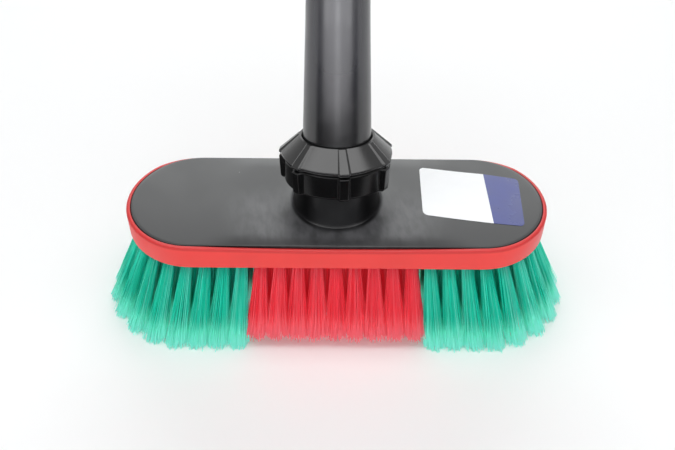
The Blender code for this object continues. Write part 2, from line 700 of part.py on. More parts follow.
def build_rubber_edge(parent, material):
    """The red rubber edge: a moulded band with a rounded lip and a tongue that keys into the block."""
    solid = Solid()
    low, high = tongue_levels()
    inner = END_RADIUS - RUBBER_WALL
    tongue = inner - TONGUE_DEPTH + FIT_GAP
    rounding, dip = RUBBER_EDGE_ROUNDING, RUBBER_SIDE_DIP
    shoulder = rounding * (1 - math.sqrt(0.5))
    section = [
        (inner, BACKING_BOTTOM, 0),
        (END_RADIUS - RUBBER_FOOT_ROUNDING, BACKING_BOTTOM, 0),
        (END_RADIUS, BACKING_BOTTOM + RUBBER_FOOT_ROUNDING, 0),
        (END_RADIUS, RUBBER_TOP - rounding, dip),
        (END_RADIUS - shoulder, RUBBER_TOP - shoulder, dip),
        (END_RADIUS - rounding, RUBBER_TOP, dip),
        (inner, RUBBER_TOP, dip),
        (inner, high, 0),
        (tongue, high, 0),
        (tongue, low, 0),
        (inner, low, 0),
    ]
    loops = [solid.loop(racetrack(radius, height, drop)) for radius, height, drop in section]
    solid.skin(loops, closed=True)
    return solid.finish("rubber_edge", material, parent)


def build_screws(parent, material):
    """Six pan-head screws that hold the cover down from below."""
    head_bottom = BLOCK_BOTTOM - FIT_GAP - SCREW_HEAD_HEIGHT
    tip = SCREW_HOLE_TOP - FIT_GAP
    for number, (x, y) in enumerate(screw_places(), start=1):
        solid = Solid()
        profile = [
            (SCREW_RECESS_RADIUS, head_bottom + SCREW_RECESS_DEPTH),
            (SCREW_RECESS_RADIUS, head_bottom),
            (SCREW_HEAD_RADIUS - SCREW_HEAD_HEIGHT / 3, head_bottom),
            (SCREW_HEAD_RADIUS, head_bottom + SCREW_HEAD_HEIGHT / 3),
            (SCREW_HEAD_RADIUS, head_bottom + SCREW_HEAD_HEIGHT),
            (SCREW_SHANK_RADIUS, head_bottom + SCREW_HEAD_HEIGHT),
            (SCREW_SHANK_RADIUS, tip - SCREW_SHANK_RADIUS / 3),
            (SCREW_SHANK_RADIUS / 2, tip),
        ]
        loops = [solid.loop(circle(radius, height, (0, 0), HOLE_STEPS)) for radius, height in profile]
        solid.skin(loops)
        solid.fill(loops[0])
        solid.fill(loops[-1])
        screw = solid.finish(f"cover_screw_{number}", material, parent)
        screw.location = (x, y, 0)


def build_slip_ring(parent, material):
    """The slippery ring under the nut's shoulder, on which the nut turns."""
    profile = [
        (NUT_OPENING_RADIUS, SLIP_RING_BOTTOM),
        (SLIP_RING_RADIUS, SLIP_RING_BOTTOM),
        (SLIP_RING_RADIUS, SLIP_RING_BOTTOM + SLIP_RING_THICKNESS),
        (NUT_OPENING_RADIUS, SLIP_RING_BOTTOM + SLIP_RING_THICKNESS),
    ]
    return turned("nut_slip_ring", profile, material, parent)


def nut_outline(face_radius, rib_radius, height, round_share):
    """The nut's outer outline: faces between ribs with sloping flanks, eight points to a sector."""
    sector = math.tau / NUT_RIBS
    rib = sector * NUT_RIB_TURN_SHARE / 2
    flank = sector * NUT_FLANK_TURN_SHARE / 2
    points = []
    for number in range(NUT_RIBS):
        middle = NUT_FIRST_RIB + sector * number
        turns = [(-rib, rib_radius), (0, rib_radius), (rib, rib_radius)]
        for share in (*NUT_FACE_SHARES, 1.0):
            turn = flank + (sector - 2 * flank) * share
            flat = face_radius / math.cos(turn - sector / 2)
            turns.append((turn, flat + (face_radius - flat) * round_share))
        for turn, radius in turns:
            angle = middle + turn
            points.append((radius * math.cos(angle), radius * math.sin(angle), height))
    return points


def nut_outside():
    """The levels of the nut's outside, as (face radius, rib radius, height, round share)."""
    chamfer = NUT_EDGE_CHAMFER
    skirt = NUT_SKIRT_RADIUS
    waist = NUT_SKIRT_RADIUS - NUT_LIP_GROOVE
    rib = NUT_RIB_RADIUS
    rib_waist = NUT_RIB_RADIUS - NUT_RIB_GROOVE
    skirt_share = NUT_SKIRT_ROUND_SHARE
    return [
        (skirt - chamfer, rib - 2 * chamfer, NUT_BOTTOM, skirt_share),
        (skirt, rib - chamfer, NUT_BOTTOM + chamfer, skirt_share),
        (skirt, rib, NUT_SKIRT_TOP - NUT_LIP_GROOVE, skirt_share),
        (waist, rib_waist, NUT_SKIRT_TOP, skirt_share),
        (waist, rib_waist, NUT_SKIRT_TOP + NUT_LIP_GROOVE, skirt_share),
        (NUT_LIP_RADIUS, rib, (NUT_SKIRT_TOP + NUT_LIP_TOP) / 2, NUT_LIP_ROUND_SHARE),
        (NUT_LIP_RADIUS, rib, NUT_LIP_TOP, NUT_LIP_ROUND_SHARE),
        (NUT_TOP_RADIUS, NUT_TOP_RADIUS + NUT_RIB_RISE / 2, NUT_TOP, NUT_TOP_ROUND_SHARE),
    ]


def nut_thread_row(height, start, end):
    """One loop of the nut's inner thread, half a pitch away from the neck's."""
    points = []
    shift = THREAD_PITCH / 2
    for i in range(NUT_BORE_STEPS):
        angle = math.tau * i / NUT_BORE_STEPS
        swell = thread_swell(angle, height + shift, start + shift, end + shift)
        radius = NUT_THREAD_ROOT - THREAD_DEPTH * swell
        points.append((radius * math.cos(angle), radius * math.sin(angle), height))
    return points


def build_union_nut(parent, material):
    """The ribbed union nut: skirt, grooved lip and faceted cone outside, rounded thread inside."""
    solid = Solid()
    outer = [solid.loop(nut_outline(*level)) for level in nut_outside()]
    solid.skin(outer)
    mouth = NUT_THREAD_ROOT + NUT_EDGE_CHAMFER / 2
    inner = [solid.loop(circle(mouth, NUT_BOTTOM, steps=NUT_BORE_STEPS))]
    start, end = NUT_BOTTOM + NUT_EDGE_CHAMFER, THREAD_END
    inner += [solid.loop(nut_thread_row(height, start, end)) for height in thread_rows(start, end)]
    seat = SLIP_RING_RADIUS + FIT_GAP
    for radius, height in (
        (NUT_THREAD_ROOT, NUT_SHOULDER - (NUT_THREAD_ROOT - seat)),
        (seat, NUT_SHOULDER),
        (NUT_OPENING_RADIUS, NUT_SHOULDER),
        (NUT_OPENING_RADIUS, NUT_TOP),
    ):
        inner.append(solid.loop(circle(radius, height, steps=NUT_BORE_STEPS)))
    solid.skin(inner)
    solid.step_wall(*matched(inner[0], outer[0]))
    solid.step_wall(*matched(inner[-1], outer[-1]))
    return solid.finish("union_nut", material, parent)


def matched(coarse, fine):
    """The two loops, with the finer one started at the vertex that faces the coarse one's first."""
    start = max(range(len(fine)), key=lambda i: fine[i].co.normalized().dot(coarse[0].co.normalized()))
    return coarse, fine[start:] + fine[:start]


def handle_radius(along):
    """The handle's outer radius at a place along its axis."""
    share = min(max((along - FLANGE_TOP) / HANDLE_TAPER_LENGTH, 0.0), 1.0)
    return HANDLE_FOOT_RADIUS + (HANDLE_GRIP_RADIUS - HANDLE_FOOT_RADIUS) * share


def build_handle_tube(parent, material):
    """The hollow handle, widest at its flange and tapering to the grip."""
    profile = [
        (handle_radius(FLANGE_BOTTOM) - HANDLE_WALL, FLANGE_BOTTOM),
        (FLANGE_RADIUS, FLANGE_BOTTOM),
        (FLANGE_RADIUS, FLANGE_TOP),
        (handle_radius(FLANGE_TOP), FLANGE_TOP),
        (handle_radius(TAPER_TOP), TAPER_TOP),
        (HANDLE_GRIP_RADIUS, HANDLE_TOP),
        (HANDLE_GRIP_RADIUS - HANDLE_WALL, HANDLE_TOP),
        (handle_radius(TAPER_TOP) - HANDLE_WALL, TAPER_TOP),
        (handle_radius(FLANGE_TOP) - HANDLE_WALL, FLANGE_TOP),
    ]
    return turned("handle_tube", profile, material, parent, steps=2 * SMALL_ROUND_STEPS)


def barb_profile(start, end):
    """Outer corners of a hose barb from its shoulder at start to its mouth at end, either way up."""
    corners = []
    ridge = (end - start) / BARB_RIDGES
    for i in range(BARB_RIDGES):
        corners.append((BARB_RADIUS, start + ridge * i))
        corners.append((BARB_RADIUS - BARB_RIDGE, start + ridge * (i + 1)))
    return corners


def build_spigot(parent, material):
    """The insert in the handle's foot: it plugs into the neck, carries the O-ring and takes the hose."""
    nose = SOCKET_RADIUS - SPIGOT_PLAY
    plug = handle_radius(SPIGOT_PLUG_TOP) - HANDLE_WALL - FIT_GAP
    groove_middle = SPIGOT_BOTTOM + O_RING_HEIGHT
    half = O_RING_SECTION + FIT_GAP
    depth = 2 * O_RING_SECTION
    profile = [
        (WATER_BORE, SPIGOT_BOTTOM),
        (nose - O_RING_SECTION, SPIGOT_BOTTOM),
        (nose, SPIGOT_BOTTOM + O_RING_SECTION),
        (nose, groove_middle - half),
        (nose - depth, groove_middle - half),
        (nose - depth, groove_middle + half),
        (nose, groove_middle + half),
        (nose, FLANGE_BOTTOM - FIT_GAP),
        (plug, FLANGE_BOTTOM - FIT_GAP),
        (plug, SPIGOT_PLUG_TOP),
        *barb_profile(SPIGOT_PLUG_TOP, SPIGOT_PLUG_TOP + BARB_LENGTH),
        (WATER_BORE, SPIGOT_PLUG_TOP + BARB_LENGTH),
    ]
    return turned("handle_spigot", profile, material, parent)


def build_o_ring(parent, material):
    """The O-ring round the spigot's nose, just inside the socket wall."""
    middle = SPIGOT_BOTTOM + O_RING_HEIGHT
    reach = SOCKET_RADIUS - FIT_GAP
    profile = []
    for x, y, _ in circle(O_RING_SECTION, 0, steps=HOLE_STEPS):
        profile.append((reach - O_RING_SECTION + x, middle + y))
    return turned("spigot_o_ring", profile, material, parent)


def build_flange_seal(parent, material):
    """The flat washer between the neck's top and the handle's flange."""
    inner = SOCKET_RADIUS + NECK_TOP_CHAMFER
    outer = NECK_RADIUS - NECK_TOP_CHAMFER
    profile = [
        (inner, SEAL_BOTTOM),
        (outer, SEAL_BOTTOM),
        (outer, SEAL_BOTTOM + FLANGE_SEAL_THICKNESS),
        (inner, SEAL_BOTTOM + FLANGE_SEAL_THICKNESS),
    ]
    return turned("flange_seal", profile, material, parent)


def build_hose(parent, hose_material, metal):
    """The water hose from the spigot's barb to the inlet's, with a crimped ferrule at each end."""
    outer = HOSE_RADIUS + HOSE_WALL
    profile = [(HOSE_RADIUS, HOSE_BOTTOM), (outer, HOSE_BOTTOM), (outer, HOSE_TOP), (HOSE_RADIUS, HOSE_TOP)]
    turned("water_hose", profile, hose_material, parent, steps=SMALL_ROUND_STEPS)
    ring = outer + FIT_GAP
    lower = HOSE_BOTTOM + FERRULE_OFFSET
    upper = HOSE_TOP - FERRULE_OFFSET - FERRULE_LENGTH
    for name, start in (("hose_ferrule_lower", lower), ("hose_ferrule_upper", upper)):
        profile = [
            (ring, start),
            (ring + FERRULE_WALL, start),
            (ring + FERRULE_WALL, start + FERRULE_LENGTH),
            (ring, start + FERRULE_LENGTH),
        ]
        turned(name, profile, metal, parent, steps=SMALL_ROUND_STEPS)


def build_end_plug(parent, material):
    """The plug that closes the handle's upper end and carries the inlet."""
    stem = HANDLE_GRIP_RADIUS - HANDLE_WALL - FIT_GAP
    rounding = PLUG_HEAD_ROUNDING
    profile = [
        (NIPPLE_HOLE_RADIUS, PLUG_STEM_BOTTOM),
        (stem, PLUG_STEM_BOTTOM),
        (stem, PLUG_HEAD_BOTTOM),
        (PLUG_HEAD_RADIUS, PLUG_HEAD_BOTTOM),
        (PLUG_HEAD_RADIUS, PLUG_HEAD_TOP - rounding),
        (PLUG_HEAD_RADIUS - rounding / 3, PLUG_HEAD_TOP - rounding / 3),
        (PLUG_HEAD_RADIUS - rounding, PLUG_HEAD_TOP),
        (NIPPLE_HOLE_RADIUS, PLUG_HEAD_TOP),
    ]
    return turned("handle_end_plug", profile, material, parent)


def build_nipple(parent, material):
    """The brass inlet nipple: a hose barb and shank below its hexagon, a male end with a relief above."""
    hex_top = HEX_BOTTOM + NIPPLE_HEX_HEIGHT
    thread_bottom = hex_top + NIPPLE_RELIEF_LENGTH
    thread_top = hex_top + NIPPLE_THREAD_LENGTH
    relief = NIPPLE_THREAD_RADIUS - NIPPLE_RELIEF
    barb_end = NIPPLE_SHANK_BOTTOM - BARB_LENGTH
    below = barb_profile(NIPPLE_SHANK_BOTTOM, barb_end)[::-1]
    below += [(NIPPLE_SHANK_RADIUS, NIPPLE_SHANK_BOTTOM), (NIPPLE_SHANK_RADIUS, HEX_BOTTOM)]
    above = [
        (relief, hex_top),
        (relief, thread_bottom),
        (NIPPLE_THREAD_RADIUS, thread_bottom + NIPPLE_RELIEF),
        (NIPPLE_THREAD_RADIUS, thread_top - NIPPLE_RELIEF),
        (relief, thread_top),
        (WATER_BORE, thread_top),
        (WATER_BORE, barb_end),
    ]
    solid = Solid()
    lower = [solid.loop(circle(radius, height, steps=HEX_ROUND_STEPS)) for radius, height in below]
    upper = [solid.loop(circle(radius, height, steps=HEX_ROUND_STEPS)) for radius, height in above]
    hexes = [solid.loop(hexagon(NIPPLE_HEX_FLATS, height)) for height in (HEX_BOTTOM, hex_top)]
    solid.skin(lower)
    solid.skin(upper)
    solid.wall(*hexes)
    solid.fill(hexes[0], lower[-1])
    solid.fill(hexes[1], upper[0])
    solid.wall(upper[-1], lower[0])
    return solid.finish("inlet_nipple", material, parent)


def build_inlet_washer(parent, material):
    """The flat washer under the nipple's hexagon."""
    top = WASHER_BOTTOM + INLET_WASHER_THICKNESS
    profile = [
        (NIPPLE_HOLE_RADIUS, WASHER_BOTTOM),
        (INLET_WASHER_RADIUS, WASHER_BOTTOM),
        (INLET_WASHER_RADIUS, top),
        (NIPPLE_HOLE_RADIUS, top),
    ]
    return turned("inlet_washer", profile, material, parent)


def build_lock_nut(parent, material):
    """The hexagon nut that holds the nipple from inside the handle."""
    solid = Solid()
    levels = (LOCK_NUT_BOTTOM, LOCK_NUT_TOP)
    sides = [solid.loop(hexagon(LOCK_NUT_FLATS, height)) for height in levels]
    bore = [solid.loop(circle(NIPPLE_HOLE_RADIUS, height, steps=HEX_ROUND_STEPS)) for height in levels]
    solid.wall(*sides)
    solid.wall(*bore)
    solid.fill(sides[0], bore[0])
    solid.fill(sides[1], bore[1])
    return solid.finish("inlet_lock_nut", material, parent)


def centre_on_floor(root):
    """Moves the whole brush along Y so that the middle of its outer box is over the origin."""
    bpy.context.view_layer.update()
    reach = []
    for obj in bpy.context.scene.objects:
        if obj.type == "MESH":
            reach += [(obj.matrix_world @ vertex.co).y for vertex in obj.data.vertices]
    root.location.y = -(min(reach) + max(reach)) / 2


def main():
    clear_scene()
    black = make_material("black_polypropylene", (0.022, 0.023, 0.025), 0.32)
    nut_black = make_material("black_nylon", (0.028, 0.028, 0.03), 0.38)
    tube_black = make_material("black_handle", (0.02, 0.02, 0.022), 0.28)
    red_rubber = make_material("red_rubber", (0.78, 0.055, 0.035), 0.42)
    green = make_material("green_bristle", (0.03, 0.60, 0.40), 0.45)
    red = make_material("red_bristle", (0.80, 0.045, 0.07), 0.45)
    seal = make_material("seal_rubber", (0.03, 0.03, 0.03), 0.7)
    steel = make_material("stainless_steel", (0.62, 0.62, 0.60), 0.3, 1.0)
    brass = make_material("brass", (0.72, 0.52, 0.22), 0.3, 1.0)
    acetal = make_material("white_acetal", (0.82, 0.82, 0.78), 0.35)
    fibre = make_material("red_fibre", (0.42, 0.10, 0.06), 0.7)
    hose_grey = make_material("grey_hose", (0.35, 0.36, 0.36), 0.45)

    root = make_empty("brush")
    build_bristles(root, green, red)
    build_block(root, black)
    build_cover_gasket(root, seal)
    build_cover(root, black)
    build_rubber_edge(root, red_rubber)
    build_screws(root, steel)

    axis = make_empty("handle_axis", root, (0, 0, COVER_RIM), HANDLE_TILT)
    build_slip_ring(axis, acetal)
    build_union_nut(axis, nut_black)
    build_flange_seal(axis, seal)
    build_handle_tube(axis, tube_black)
    build_spigot(axis, nut_black)
    build_o_ring(axis, seal)
    build_hose(axis, hose_grey, steel)
    build_end_plug(axis, nut_black)
    build_nipple(axis, brass)
    build_inlet_washer(axis, fibre)
    build_lock_nut(axis, brass)
    centre_on_floor(root)


main()
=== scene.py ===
"""Looks of the water-fed wash brush: fuller shapes, procedural finishes, studio and camera.

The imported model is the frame. Everything is in metres, and a finished piece keeps its place in its mesh.
"""

import json
import logging
import math
from dataclasses import dataclass, field
from enum import Enum
from typing import Callable, Mapping, Sequence

import bmesh
import bpy
from mathutils import Matrix, Vector
from mathutils.bvhtree import BVHTree


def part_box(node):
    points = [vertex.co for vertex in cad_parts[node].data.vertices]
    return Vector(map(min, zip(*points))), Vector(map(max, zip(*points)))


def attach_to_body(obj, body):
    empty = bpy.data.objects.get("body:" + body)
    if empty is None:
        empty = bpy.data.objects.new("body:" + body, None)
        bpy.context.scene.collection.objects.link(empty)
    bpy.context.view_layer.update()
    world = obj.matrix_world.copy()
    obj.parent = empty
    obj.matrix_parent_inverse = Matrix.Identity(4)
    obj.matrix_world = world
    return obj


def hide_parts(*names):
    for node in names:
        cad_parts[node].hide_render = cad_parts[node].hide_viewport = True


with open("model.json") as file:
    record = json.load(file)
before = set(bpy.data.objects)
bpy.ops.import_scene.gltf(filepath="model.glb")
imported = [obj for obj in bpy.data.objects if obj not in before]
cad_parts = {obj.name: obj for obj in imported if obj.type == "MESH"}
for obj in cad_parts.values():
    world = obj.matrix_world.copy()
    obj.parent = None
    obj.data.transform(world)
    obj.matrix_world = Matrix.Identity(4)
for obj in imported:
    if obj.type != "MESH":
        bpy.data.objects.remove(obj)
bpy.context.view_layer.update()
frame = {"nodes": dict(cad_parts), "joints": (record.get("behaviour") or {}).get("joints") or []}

log = logging.getLogger("wash_brush")

Colour = Place = tuple[float, float, float]
Plan = tuple[float, float]
Ring = list[bmesh.types.BMVert]
Radius = float | Callable[[float, float], float]
Tree, Node, Socket = bpy.types.NodeTree, bpy.types.Node, bpy.types.NodeSocket
Material, Piece = bpy.types.Material, bpy.types.Object
Feed = Socket | float | int | bool | tuple | str | Material
Feeds = dict[str | int, Feed]
Sockets = Mapping[str, Socket]

IMAGE_WIDTH = 675
SHARP = math.radians(32)
GOLDEN_ANGLE = 2.399963
BLACK, WHITE, DUST_GREY = (0.0, 0.0, 0.0, 1.0), (1.0, 1.0, 1.0, 1.0), (0.45, 0.45, 0.44, 1.0)


class Body(Enum):
    """The CAD bodies that pieces ride on."""

    HEAD = "head"
    HANDLE = "handle"
    NUT = "nut"


class Field(Enum):
    """The three bristle fields, named as their CAD nodes are."""

    RED_MIDDLE = "bristles_red_middle"
    GREEN_RIGHT = "bristles_green_right"
    GREEN_LEFT = "bristles_green_left"


class Graph:
    """Short calls that add and wire the nodes of one tree.

    Attributes:
        tree: the shader or geometry tree.
        given: the tree's own inputs, where start made it.
        result: its own outputs.
    """

    given: Sockets
    result: Sockets

    def __init__(self, tree: Tree) -> None:
        """Starts on an existing tree."""
        self.tree = tree

    @classmethod
    def start(cls, name: str, inputs: dict[str, Feed], outputs: dict[str, str] | None = None) -> "Graph":
        """Starts a shader group, or without outputs a geometry tree, which has Geometry on both sides.

        Args:
            name: the tree's name.
            inputs: each further input's default, or the word for its kind.
            outputs: each output's kind.

        Returns:
            The tree's graph.
        """
        graph = cls(bpy.data.node_groups.new(name, "ShaderNodeTree" if outputs else "GeometryNodeTree"))
        shape = {} if outputs else {"Geometry": "Geometry"}
        for side, sockets in (("INPUT", shape | inputs), ("OUTPUT", outputs or shape)):
            for label, value in sockets.items():
                kind = value if isinstance(value, str) else {float: "Float", tuple: "Color"}[type(value)]
                socket = graph.tree.interface.new_socket(name=label, in_out=side, socket_type="NodeSocket" + kind)
                if value is not kind:
                    socket.default_value = value
        graph.given = graph.add("NodeGroupInput").outputs
        graph.result = graph.add("NodeGroupOutput").inputs
        return graph

    def give(self, feeds: dict[str, Feed]) -> Tree:
        """Feeds the tree's results and hands over the finished tree.

        Args:
            feeds: the results by name.

        Returns:
            The tree.
        """
        for label, value in feeds.items():
            self.feed(self.result[label], value)
        return self.tree

    def add(self, kind: str, feeds: Feeds | None = None, **settings: object) -> Node:
        """Adds one node.

        Args:
            kind: the node's Blender type name.
            feeds: values or sockets for its inputs, by name or number.
            settings: values of the node's own properties.

        Returns:
            The new node.
        """
        node = self.tree.nodes.new(kind)
        node.location = (180 * len(self.tree.nodes), 0)
        for name, value in settings.items():
            setattr(node, name, value)
        self.wire(node, feeds or {})
        return node

    def wire(self, node: Node, feeds: Feeds) -> None:
        """Feeds several inputs of a node."""
        for key, value in feeds.items():
            self.feed(node.inputs[key], value)

    def feed(self, socket: Socket, value: Feed) -> None:
        """Links a socket to an input, or sets the input to a value.

        Args:
            socket: the input.
            value: the socket to link or the value to set.
        """
        if isinstance(value, Socket):
            self.tree.links.new(value, socket)
        else:
            socket.default_value = value

    def math(self, operation: str, first: Feed, second: Feed = 0.0, clamp: bool = False) -> Socket:
        """One Math node, whose result is kept from 0 to 1 where clamp is set."""
        return self.add("ShaderNodeMath", {0: first, 1: second}, operation=operation, use_clamp=clamp).outputs[0]

    def times(self, *factors: Feed) -> Socket:
        """The product of its factors, from left to right.

        Args:
            factors: sockets or numbers.

        Returns:
            The product's socket.
        """
        product = factors[0]
        for factor in factors[1:]:
            product = self.math("MULTIPLY", product, factor)
        return product

    def vector(self, operation: str, first: Feed, second: Feed = (0, 0, 0), scale: Feed = 1.0) -> Socket:
        """One Vector Math node whose result is a vector; scale is for SCALE alone."""
        return self.add("ShaderNodeVectorMath", {0: first, 1: second, 3: scale}, operation=operation).outputs[0]

    def measure(self, operation: str, first: Feed, second: Feed = (0, 0, 0)) -> Socket:
        """One Vector Math node whose result is a number."""
        return self.add("ShaderNodeVectorMath", {0: first, 1: second}, operation=operation).outputs["Value"]

    def remap(self, value: Feed, low: Feed, high: Feed, to_low: Feed = 0.0, to_high: Feed = 1.0) -> Socket:
        """Maps a number from one range to another, smoothly and kept inside it."""
        feeds = {"Value": value, "From Min": low, "From Max": high, "To Min": to_low, "To Max": to_high}
        return self.add("ShaderNodeMapRange", feeds, interpolation_type="SMOOTHSTEP").outputs[0]

    def blend(self, factor: Feed, first: Feed, second: Feed) -> Socket:
        """Blends two colours: factor 0 for the first, 1 for the second."""
        return self.add("ShaderNodeMix", {0: factor, 6: first, 7: second}, data_type="RGBA").outputs[2]

    def noise(self, place: Feed, scale: Feed, detail: float = 3.0, rough: float = 0.55) -> Socket:
        """A noise, mostly from 0.25 to 0.75, of scale features per metre and detail octaves."""
        feeds = {"Vector": place, "Scale": scale, "Detail": detail, "Roughness": rough}
        return self.add("ShaderNodeTexNoise", feeds).outputs[0]

    def stretched(self, place: Feed, stretch: Place, turn: float) -> Socket:
        """Coordinates turned round Z and then stretched, for patterns with a direction."""
        feeds = {"Vector": place, "Rotation": (0.0, 0.0, turn), "Scale": stretch}
        return self.add("ShaderNodeMapping", feeds, vector_type="TEXTURE").outputs[0]

    def axes(self, place: Feed) -> Sockets:
        """The X, Y and Z of a vector."""
        return self.add("ShaderNodeSeparateXYZ", {0: place}).outputs

    def here(self) -> Socket:
        """Object coordinates, in a material."""
        return self.add("ShaderNodeTexCoord").outputs["Object"]

    def group(self, tree: Tree, feeds: Feeds) -> Sockets:
        """Places a shader node group with its own values, and gives its outputs."""
        return self.add("ShaderNodeGroup", feeds, node_tree=tree).outputs

    def finished(self, flow: Feed) -> Tree:
        """Ends a geometry tree with the material that it is given."""
        dressed = self.add("GeometryNodeSetMaterial", {"Geometry": flow, "Material": self.given["Finish"]})
        return self.give({"Geometry": dressed.outputs[0]})


def colour4(colour: Colour) -> tuple[float, float, float, float]:
    """A colour with full alpha, as sockets want it."""
    return (*colour, 1.0)


def principled(name: str) -> tuple[Material, Graph, Node]:
    """A new material, its graph and its Principled shader.

    Args:
        name: the material's name.

    Returns:
        The three of them.
    """
    material = bpy.data.materials.new(name)
    material.use_nodes = True
    graph = Graph(material.node_tree)
    return material, graph, graph.tree.nodes["Principled BSDF"]


class Effects:
    """The shader node groups that several finishes share, each built once."""

    def __init__(self) -> None:
        """Builds every group."""
        self.grain = self._grain()
        self.scratches = self._scratches()
        self.dust = self._dust()
        self.filament = self._filament()
    # The cover is painted near black as shade round the neck, with a ring of painted sheen before it

    def _grain(self) -> Tree:
        # Painted shade on the nut's skirt below its lip
        """Fine moulded grain, and a slow mottle in the gloss.

        Returns:
            The node group.
        """
        # Painted light on the handle tube: darker near the nut, paler higher up
        inputs = {"Place": "Vector", "Grains per Metre": 2400.0, "Mottles per Metre": 40.0}
        graph = Graph.start("moulded_grain", inputs, {"Height": "Float", "Mottle": "Float"})
        # Painted shade: the rubber's rounded lip is darker than its face
        height = graph.noise(graph.given["Place"], graph.given["Grains per Metre"], 2.0, 0.6)
        slow = graph.noise(graph.given["Place"], graph.given["Mottles per Metre"], 4.0, 0.6)
        return graph.give({"Height": height, "Mottle": graph.remap(slow, 0.3, 0.7)})
    # Filament colours: the deeper roots are painted shade, and the glows are painted light

    def _scratches(self) -> Tree:
        """Long hair-thin scuffs, most of them along the head, in patches.

        Returns:
            The node group.
        """
        inputs = {"Place": "Vector", "Lines per Metre": 42.0, "Amount": 0.5}
        graph = Graph.start("hair_scratches", inputs, {"Mask": "Float"})
        place, layers = graph.given["Place"], []
        for turn in (1.52, 1.66, 1.1):
            along = graph.stretched(place, (75.0, 1.0, 75.0), turn)
            lines = graph.noise(along, graph.given["Lines per Metre"], 1.0, 0.4)
            patch = graph.noise(graph.stretched(place, (1.6, 1.0, 1.0), turn + 0.4), 34.0, 2.0, 0.5)
            layers.append(graph.times(graph.remap(lines, 0.65, 0.74), graph.remap(patch, 0.48, 0.62)))
        joined = graph.math("MAXIMUM", graph.math("MAXIMUM", layers[0], layers[1]), layers[2])
        return graph.give({"Mask": graph.math("MULTIPLY", joined, graph.given["Amount"], clamp=True)})

    def _dust(self) -> Tree:
        """Sparse round specks of dust.

        Returns:
            The node group.
        """
        inputs = {"Place": "Vector", "Cells per Metre": 260.0, "Amount": 0.3}
        graph = Graph.start("dust_specks", inputs, {"Mask": "Float"})
        feeds = {"Vector": graph.given["Place"], "Scale": graph.given["Cells per Metre"]}
        cells = graph.add("ShaderNodeTexVoronoi", feeds).outputs
        chance = graph.add("ShaderNodeSeparateColor", {0: cells["Color"]}).outputs[0]
        speck = graph.math("LESS_THAN", cells["Distance"], graph.remap(chance, 0.975, 1.0, 0.0, 0.12))
        return graph.give({"Mask": graph.math("MULTIPLY", speck, graph.given["Amount"], clamp=True)})

    def _filament(self) -> Tree:
        """Colour along a bristle: deep at the root as painted shade, clear in the middle and pale at the split tip,
        with a painted glow.

        Returns:
            The node group.
        """
        inputs = {"Along": 0.5, "Tone": 0.5, "Root": (0.0, 0.2, 0.1, 1.0), "Middle": (0.0, 0.5, 0.3, 1.0)}
        inputs |= {"Tip": (0.3, 0.9, 0.6, 1.0), "Body Glow": 0.0, "Tip Glow": 0.0}
        graph = Graph.start("bristle_tone", inputs, {"Colour": "Color", "Glow": "Color"})
        given = graph.given
        along, tone = given["Along"], given["Tone"]
        # Painted shade: the root is deeper in colour than the free length
        body = graph.blend(graph.remap(along, 0.0, 0.22), given["Root"], given["Middle"])
        streaked = graph.blend(graph.remap(tone, 0.55, 1.0), body, graph.blend(0.42, body, given["Tip"]))
        shift = graph.math("MULTIPLY_ADD", tone, 0.14)
        shift.node.inputs[2].default_value = -0.07
        tip = graph.remap(graph.math("ADD", along, shift), 0.60, 0.98)
        colour = graph.blend(tip, streaked, given["Tip"])
        # Painted glow: emission that grows towards the tip, standing in for light scattered through the filament
        glow = graph.remap(tip, 0.0, 1.0, given["Body Glow"], given["Tip Glow"])
        return graph.give({"Colour": colour, "Glow": graph.blend(glow, BLACK, colour)})


@dataclass(frozen=True)
class Finish:
    """What every finish has: a name and a Principled material with grain in its gloss and relief.

    Attributes:
        name: the material's name.
        colour: its base colour.
        roughness: its mean roughness.
        spread: how far the mottle moves the roughness.
        grains: grains per metre of the relief.
        relief: height of the relief in metres.
        shade: how much darker the mottle makes the colour, as a share.
        metallic: 1 for a metal.
        scratches: strength of the hair scratches.
        dust: strength of the dust specks.
    """

    name: str
    colour: Colour
    roughness: float
    spread: float = 0.06
    grains: float = 2400.0
    relief: float = 0.00002
    shade: float = 0.15
    metallic: float = 0.0
    scratches: float = 0.0
    dust: float = 0.0

    def build(self, effects: Effects) -> Material:
        """Builds the material.

        Args:
            effects: the shared node groups.

        Returns:
            The new material.
        """
        material, graph, shader = principled(self.name)
        place = graph.here()
        grain = graph.group(effects.grain, {"Place": place, "Grains per Metre": self.grains})
        mottle = grain["Mottle"]
        dark = tuple(part * (1.0 - self.shade) for part in self.colour)
        colour = self.tint(graph, place, graph.blend(mottle, colour4(dark), colour4(self.colour)))
        rough = graph.remap(mottle, 0.0, 1.0, self.roughness - self.spread, self.roughness + self.spread)
        if self.scratches:
            scuffs = graph.group(effects.scratches, {"Place": place, "Amount": self.scratches})[0]
            scuff_and_sheen_colour = tuple(min(1.0, part * 2.0 + 0.05) for part in self.colour)
            colour = graph.blend(scuffs, colour, colour4(scuff_and_sheen_colour))
            rough = graph.math("ADD", rough, graph.times(scuffs, 0.25), clamp=True)
        if self.dust:
            specks = graph.group(effects.dust, {"Place": place, "Amount": self.dust})[0]
            colour = graph.blend(specks, colour, DUST_GREY)
            rough = graph.math("ADD", rough, graph.times(specks, 0.4), clamp=True)
        bump = graph.add("ShaderNodeBump", {"Distance": self.relief, "Height": grain["Height"]}).outputs[0]
        feeds = {"Metallic": self.metallic, "Base Color": colour, "Roughness": rough, "Normal": bump}
        graph.wire(shader, feeds)
        self.adjust(graph, shader)
        return material

    def tint(self, graph: Graph, place: Socket, colour: Socket) -> Socket:
        """Gives the mottled colour, changed further by some finishes, at Object coordinates."""
        return colour

    def adjust(self, graph: Graph, shader: Node) -> None:
        """Sets further sockets of the shader; a plain finish leaves them."""


